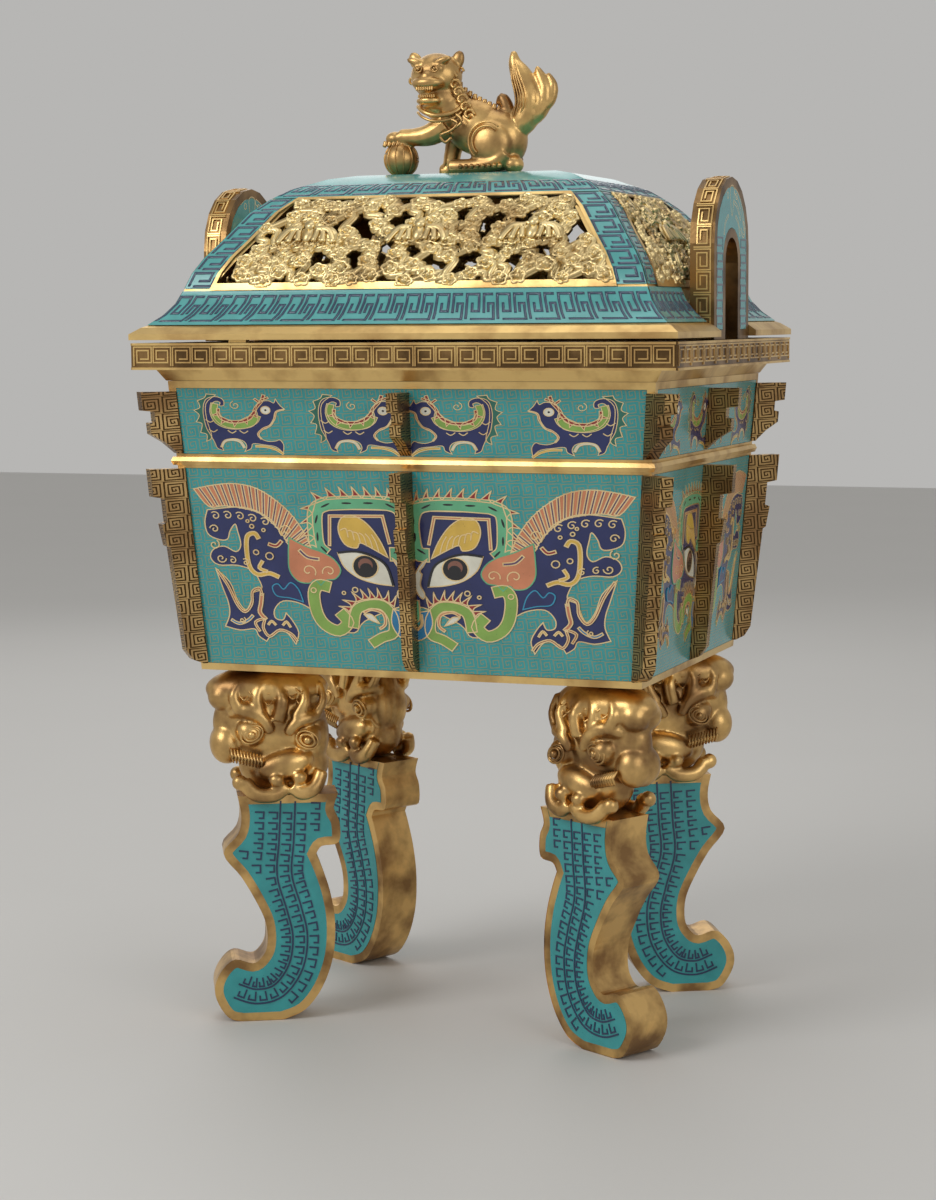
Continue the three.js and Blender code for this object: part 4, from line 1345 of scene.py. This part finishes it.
def make_lion():
    parts = []
    for part in LION_MASSES:
        if part[0] == "ball":
            _, (x, y, z), radii, turn = part
            parts.append(("ball", (x, y, z + LION_Z), radii, turn))
        else:
            _, points, radii = part
            parts.append(("tube", [(x, y, z + LION_Z) for x, y, z in points], radii))
    details = []

    def add(points, radii):
        details.append(([(x, y, z + LION_Z) for x, y, z in points], radii))

    for i in range(9):
        t = i / 8
        x, z = -10 + 36 * t, 79 - 22 * t ** 0.7
        add([(x, -3, z - 2), (x + 1, -3, z + 2.5)], [2.8, 1.6])
    for i in range(7):
        lean = (i - 3) * 3.0
        for y in (-1, 1):
            add([(44 + lean * 0.6, y * 8, 44), (53 + lean, y * (13.2 - abs(lean) * 0.45), 62),
                 (46 + lean * 0.75, y * (10.4 - abs(lean) * 0.4), 84), (40 + lean * 0.15, y * 3.5, 100)],
                [0.8, 1.0, 0.9, 0.5])
    for y in (-1, 1):
        for radius in (13, 16.5):
            arc = [(22 + radius * math.cos(a * 0.4), y * (26.2 - 0.1 * radius), 28 + radius * math.sin(a * 0.4))
                   for a in range(2, 11)]
            add(arc, [0.8] * len(arc))
        for i in range(8):
            add([(-2 + 5.2 * i, y * 25, 6), (-1 + 5.2 * i, y * 26.5, 8)], [2.3, 1.4])
    for i in range(8):
        x = -38.5 + 2.0 * i
        add([(x, -33, 75.4), (x, -33.6, 72.2)], [1.1, 0.8])
        add([(x, -28.4, 66.5), (x, -28.8, 69.2)], [1.0, 0.7])
    collar = [(-44, -16, 60), (-36, -25, 55), (-24, -27, 51), (-10, -22, 53), (-2, -16, 60)]
    add(collar, [2.0] * 5)
    add([(x, y - 1.5, z - 5) for x, y, z in collar], [1.2] * 5)
    add([(-12, -23, 48), (-4, -25, 44), (-10, -25, 38), (-20, -25, 34), (-16, -24, 28), (-10, -24, 32)], [1.4] * 6)
    add([(-6, -24, 52), (0, -25, 46), (-6, -25, 40)], [1.2] * 3)
    for i in range(4):
        add([(-74 + 4.0 * i, -18, 30), (-75 + 4.0 * i, -20, 26)], [2.4, 1.6])
    for i in range(6):
        turn = i * math.pi / 6
        ring = [(-62 + 15.2 * math.cos(a * 0.52) * math.cos(turn), -12 + 15.2 * math.cos(a * 0.52) * math.sin(turn),
                 15 + 15.2 * math.sin(a * 0.52)) for a in range(13)]
        add(ring, [0.6] * 13)
    for i in range(7):
        angle = 0.5 + 0.42 * i
        x, z = -29 + 24 * math.cos(angle), 84 + 20 * math.sin(angle) - 4
        curl = [(x + (4 - 0.45 * k) * math.cos(k * 0.9), -9 + 0.4 * k, z + (4 - 0.45 * k) * math.sin(k * 0.9))
                for k in range(8)]
        add(curl, [1.2] * 8)
    for i in range(6):
        x, z = -12 + 3.2 * i, 84 - 6.5 * i
        curl = [(x + (5 - 0.5 * k) * math.cos(k * 0.8), -18 - 0.35 * k, z + (5 - 0.5 * k) * math.sin(k * 0.8))
                for k in range(9)]
        add(curl, [1.4] * 9)
    for x in (-38.5, -23.5):
        add([(x + 3.2 * math.cos(a * 0.8), -29.6, 91 + 2.8 * math.sin(a * 0.8)) for a in range(9)], [0.8] * 9)
        add([(x, -29, 91), (x, -31, 91)], [1.8, 1.2])
    lion = mass(parts, "lion_casting", 1.2, 4)
    finish_cast(lion, details, "gilt_cast", "cover", ("lion_finial",))
    trim_below(lion, LION_Z)


def trim_below(piece, z):
    """Cuts away what would sink into the crown."""
    bpy.ops.object.select_all(action="DESELECT")
    piece.select_set(True)
    bpy.context.view_layer.objects.active = piece
    bpy.ops.object.mode_set(mode="EDIT")
    bpy.ops.mesh.select_all(action="SELECT")
    bpy.ops.mesh.bisect(plane_co=(0, 0, z * MM), plane_no=(0, 0, 1), clear_inner=True, use_fill=True)
    bpy.ops.object.mode_set(mode="OBJECT")


# Looks of the frame's own nodes

def paint(node, look, bevel=None):
    node.data.materials.clear()
    node.data.materials.append(MATERIALS[look])
    for polygon in node.data.polygons:
        polygon.material_index = 0
    if bevel:
        edge = node.modifiers.new("Edges", "BEVEL")
        edge.width = bevel * MM
        edge.segments = 2
        edge.limit_method = "ANGLE"


def paint_flange(name, node):
    """Engraved broad faces; the narrow outer edge stays bright."""
    middle = name.split("_", 2)[2]
    along = {"front": Vector((0, 1)), "back": Vector((0, 1)), "left": Vector((1, 0)), "right": Vector((1, 0))}
    lean = -1 if middle in ("front_left", "back_right") else 1
    plane = along.get(middle, Vector((1, -lean)).normalized())
    across = Vector((-plane.y, plane.x))
    paint(node, "engraved_y" if middle in ("front", "back") else "engraved_x", 0.6)
    node.data.materials.append(MATERIALS["edge_y" if middle in ("left", "right") else "edge_x"])
    for polygon in node.data.polygons:
        broad = abs(polygon.normal.x * across.x + polygon.normal.y * across.y)
        polygon.material_index = 0 if broad > 0.8 else 1


def paint_frame(nodes):
    for name, node in nodes.items():
        side = name.rsplit("_", 1)[-1]
        if name.startswith(("frieze_panel", "mask_panel")):
            paint(node, "ground_x" if side in ("front", "back") else "ground_y")
        elif name == "cover_crown_panel":
            paint(node, "cover_turquoise")
        elif "inlay" in name:
            paint(node, "turquoise")
        elif name in ("rim_collar", "handle_left", "handle_right"):
            # The rim collar and the handles get gilt darkened as painted shade
            paint(node, "gilt_painted_shade", 0.9)
        elif "flange" in name:
            paint_flange(name, node)
        elif name.startswith("leg_"):
            paint(node, "gilt_dark", 1.5)
        elif name == "finial_nut":
            # The finial nut under the lion gets gilt darkened as painted shade
            paint(node, "gilt_painted_shade")
        else:
            paint(node, "gilt_bright", 0.8)


# Stage

def make_stage():
    bpy.ops.object.select_all(action="DESELECT")
    bpy.ops.mesh.primitive_plane_add(size=14, location=(0, 0, 0))
    floor = bpy.context.object
    floor.name = "floor"
    bpy.ops.object.mode_set(mode="EDIT")
    bpy.ops.mesh.select_all(action="SELECT")
    bpy.ops.mesh.subdivide(number_cuts=4)
    bpy.ops.object.mode_set(mode="OBJECT")
    floor.data.materials.append(MATERIALS["floor"])
    world = bpy.data.worlds.new("studio")
    bpy.context.scene.world = world
    world.use_nodes = True
    back = world.node_tree.nodes["Background"]
    back.inputs["Color"].default_value = (0.86, 0.85, 0.83, 1)
    back.inputs["Strength"].default_value = 0.55
    for name, place, size, power in (
        ("key", (-1.6, -2.4, 2.3), 1.6, 40),
        ("fill", (2.6, -1.8, 1.6), 1.8, 16),
        ("top", (0.0, 0.2, 2.6), 1.6, 8),
        ("rim", (-1.2, 2.2, 1.8), 1.8, 9),
    ):
        lamp = bpy.data.lights.new(name, "AREA")
        lamp.size = size
        lamp.energy = power
        holder = bpy.data.objects.new(name, lamp)
        holder.location = place
        holder.rotation_euler = (Vector((0, 0, 0.5)) - Vector(place)).to_track_quat("-Z", "Y").to_euler()
        bpy.context.scene.collection.objects.link(holder)


def make_camera():
    forward = Vector((
        -math.sin(CAMERA_YAW) * math.cos(CAMERA_PITCH),
        math.cos(CAMERA_YAW) * math.cos(CAMERA_PITCH),
        -math.sin(CAMERA_PITCH),
    ))
    level = Vector((math.cos(CAMERA_YAW), math.sin(CAMERA_YAW), 0))
    upright = level.cross(forward)
    right = math.cos(CAMERA_ROLL) * level + math.sin(CAMERA_ROLL) * upright
    up = -math.sin(CAMERA_ROLL) * level + math.cos(CAMERA_ROLL) * upright
    camera = bpy.data.cameras.new("camera")
    camera.lens = CAMERA_LENS
    holder = bpy.data.objects.new("camera", camera)
    columns = Matrix((right, up, -forward)).transposed().to_4x4()
    holder.matrix_world = Matrix.Translation(Vector(CAMERA_PLACE)) @ columns
    bpy.context.scene.collection.objects.link(holder)
    bpy.context.scene.camera = holder


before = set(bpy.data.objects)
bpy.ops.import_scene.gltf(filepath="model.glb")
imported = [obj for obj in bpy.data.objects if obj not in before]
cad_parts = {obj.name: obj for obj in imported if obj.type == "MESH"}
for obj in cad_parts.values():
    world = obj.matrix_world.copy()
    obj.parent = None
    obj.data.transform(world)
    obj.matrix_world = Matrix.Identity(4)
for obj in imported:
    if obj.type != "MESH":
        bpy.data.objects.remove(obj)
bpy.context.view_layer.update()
GROUPS = {"spiral": spiral_group(), "wear": wear_group()}
MATERIALS = {name: enamel_material(f"enamel_{name}", colour) for name, colour in COLOURS.items()}
MATERIALS["leg_navy"] = enamel_material("enamel_leg_navy", (0.010, 0.030, 0.085))
MATERIALS["ground_x"] = enamel_material("spiral_ground_x", COLOURS["turquoise"], ("X", 0.0112))
MATERIALS["ground_y"] = enamel_material("spiral_ground_y", COLOURS["turquoise"], ("Y", 0.0112))
GOLD, BROWN = (0.80, 0.52, 0.20), (0.30, 0.17, 0.07)
MATERIALS["gilt_bright"] = gilt_material("gilt_bright", (0.86, 0.60, 0.24), (0.55, 0.34, 0.13), 0.45)
MATERIALS["gilt_openwork"] = gilt_material("gilt_openwork", (0.86, 0.68, 0.34), (0.50, 0.34, 0.15), 0.48)
MATERIALS["gilt_cast"] = gilt_material("gilt_cast", GOLD, BROWN, 0.40)
MATERIALS["gilt_dark"] = gilt_material("gilt_dark", (0.60, 0.38, 0.15), (0.22, 0.12, 0.05), 0.36)
# Gilt darkened as painted shade, for the rim collar, the handles and the finial nut, which sit in shadow under the
# cover and the lion
MATERIALS["gilt_painted_shade"] = gilt_material("gilt_painted_shade", (0.34, 0.20, 0.08), (0.12, 0.07, 0.03), 0.40)
MATERIALS["engraved_x"] = gilt_material("engraved_x", (0.55, 0.36, 0.15), BROWN, 0.40, ("X", 0.0145, 3.0))
MATERIALS["engraved_y"] = gilt_material("engraved_y", (0.55, 0.36, 0.15), BROWN, 0.40, ("Y", 0.0145, 3.0))
MATERIALS["edge_x"] = gilt_material("edge_x", (0.66, 0.44, 0.18), BROWN, 0.42, ("X", 0.0098, 2.0))
MATERIALS["edge_y"] = gilt_material("edge_y", (0.66, 0.44, 0.18), BROWN, 0.42, ("Y", 0.0098, 2.0))
MATERIALS["wire"] = gilt_material("wire", (0.98, 0.76, 0.42), (0.80, 0.56, 0.28), 0.5)
MATERIALS["green_wire"] = enamel_material("green_wire", COLOURS["green"])
MATERIALS["blue_wire"] = enamel_material("blue_wire", (0.03, 0.28, 0.45))
MATERIALS["black_wire"] = enamel_material("black_wire", COLOURS["black"])
MATERIALS["floor"] = plain_material("floor", (0.62, 0.61, 0.59), 0.6)

paint_frame(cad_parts)
make_panels()
make_collar_fret()
make_handle_frets()
make_cover_enamel()
for face_side in SIDES:
    openwork(face_side)
make_legs()
make_leg_art()
make_leg_heads()
make_lion()
make_stage()
make_camera()
bpy.context.scene.view_settings.view_transform = "Standard"
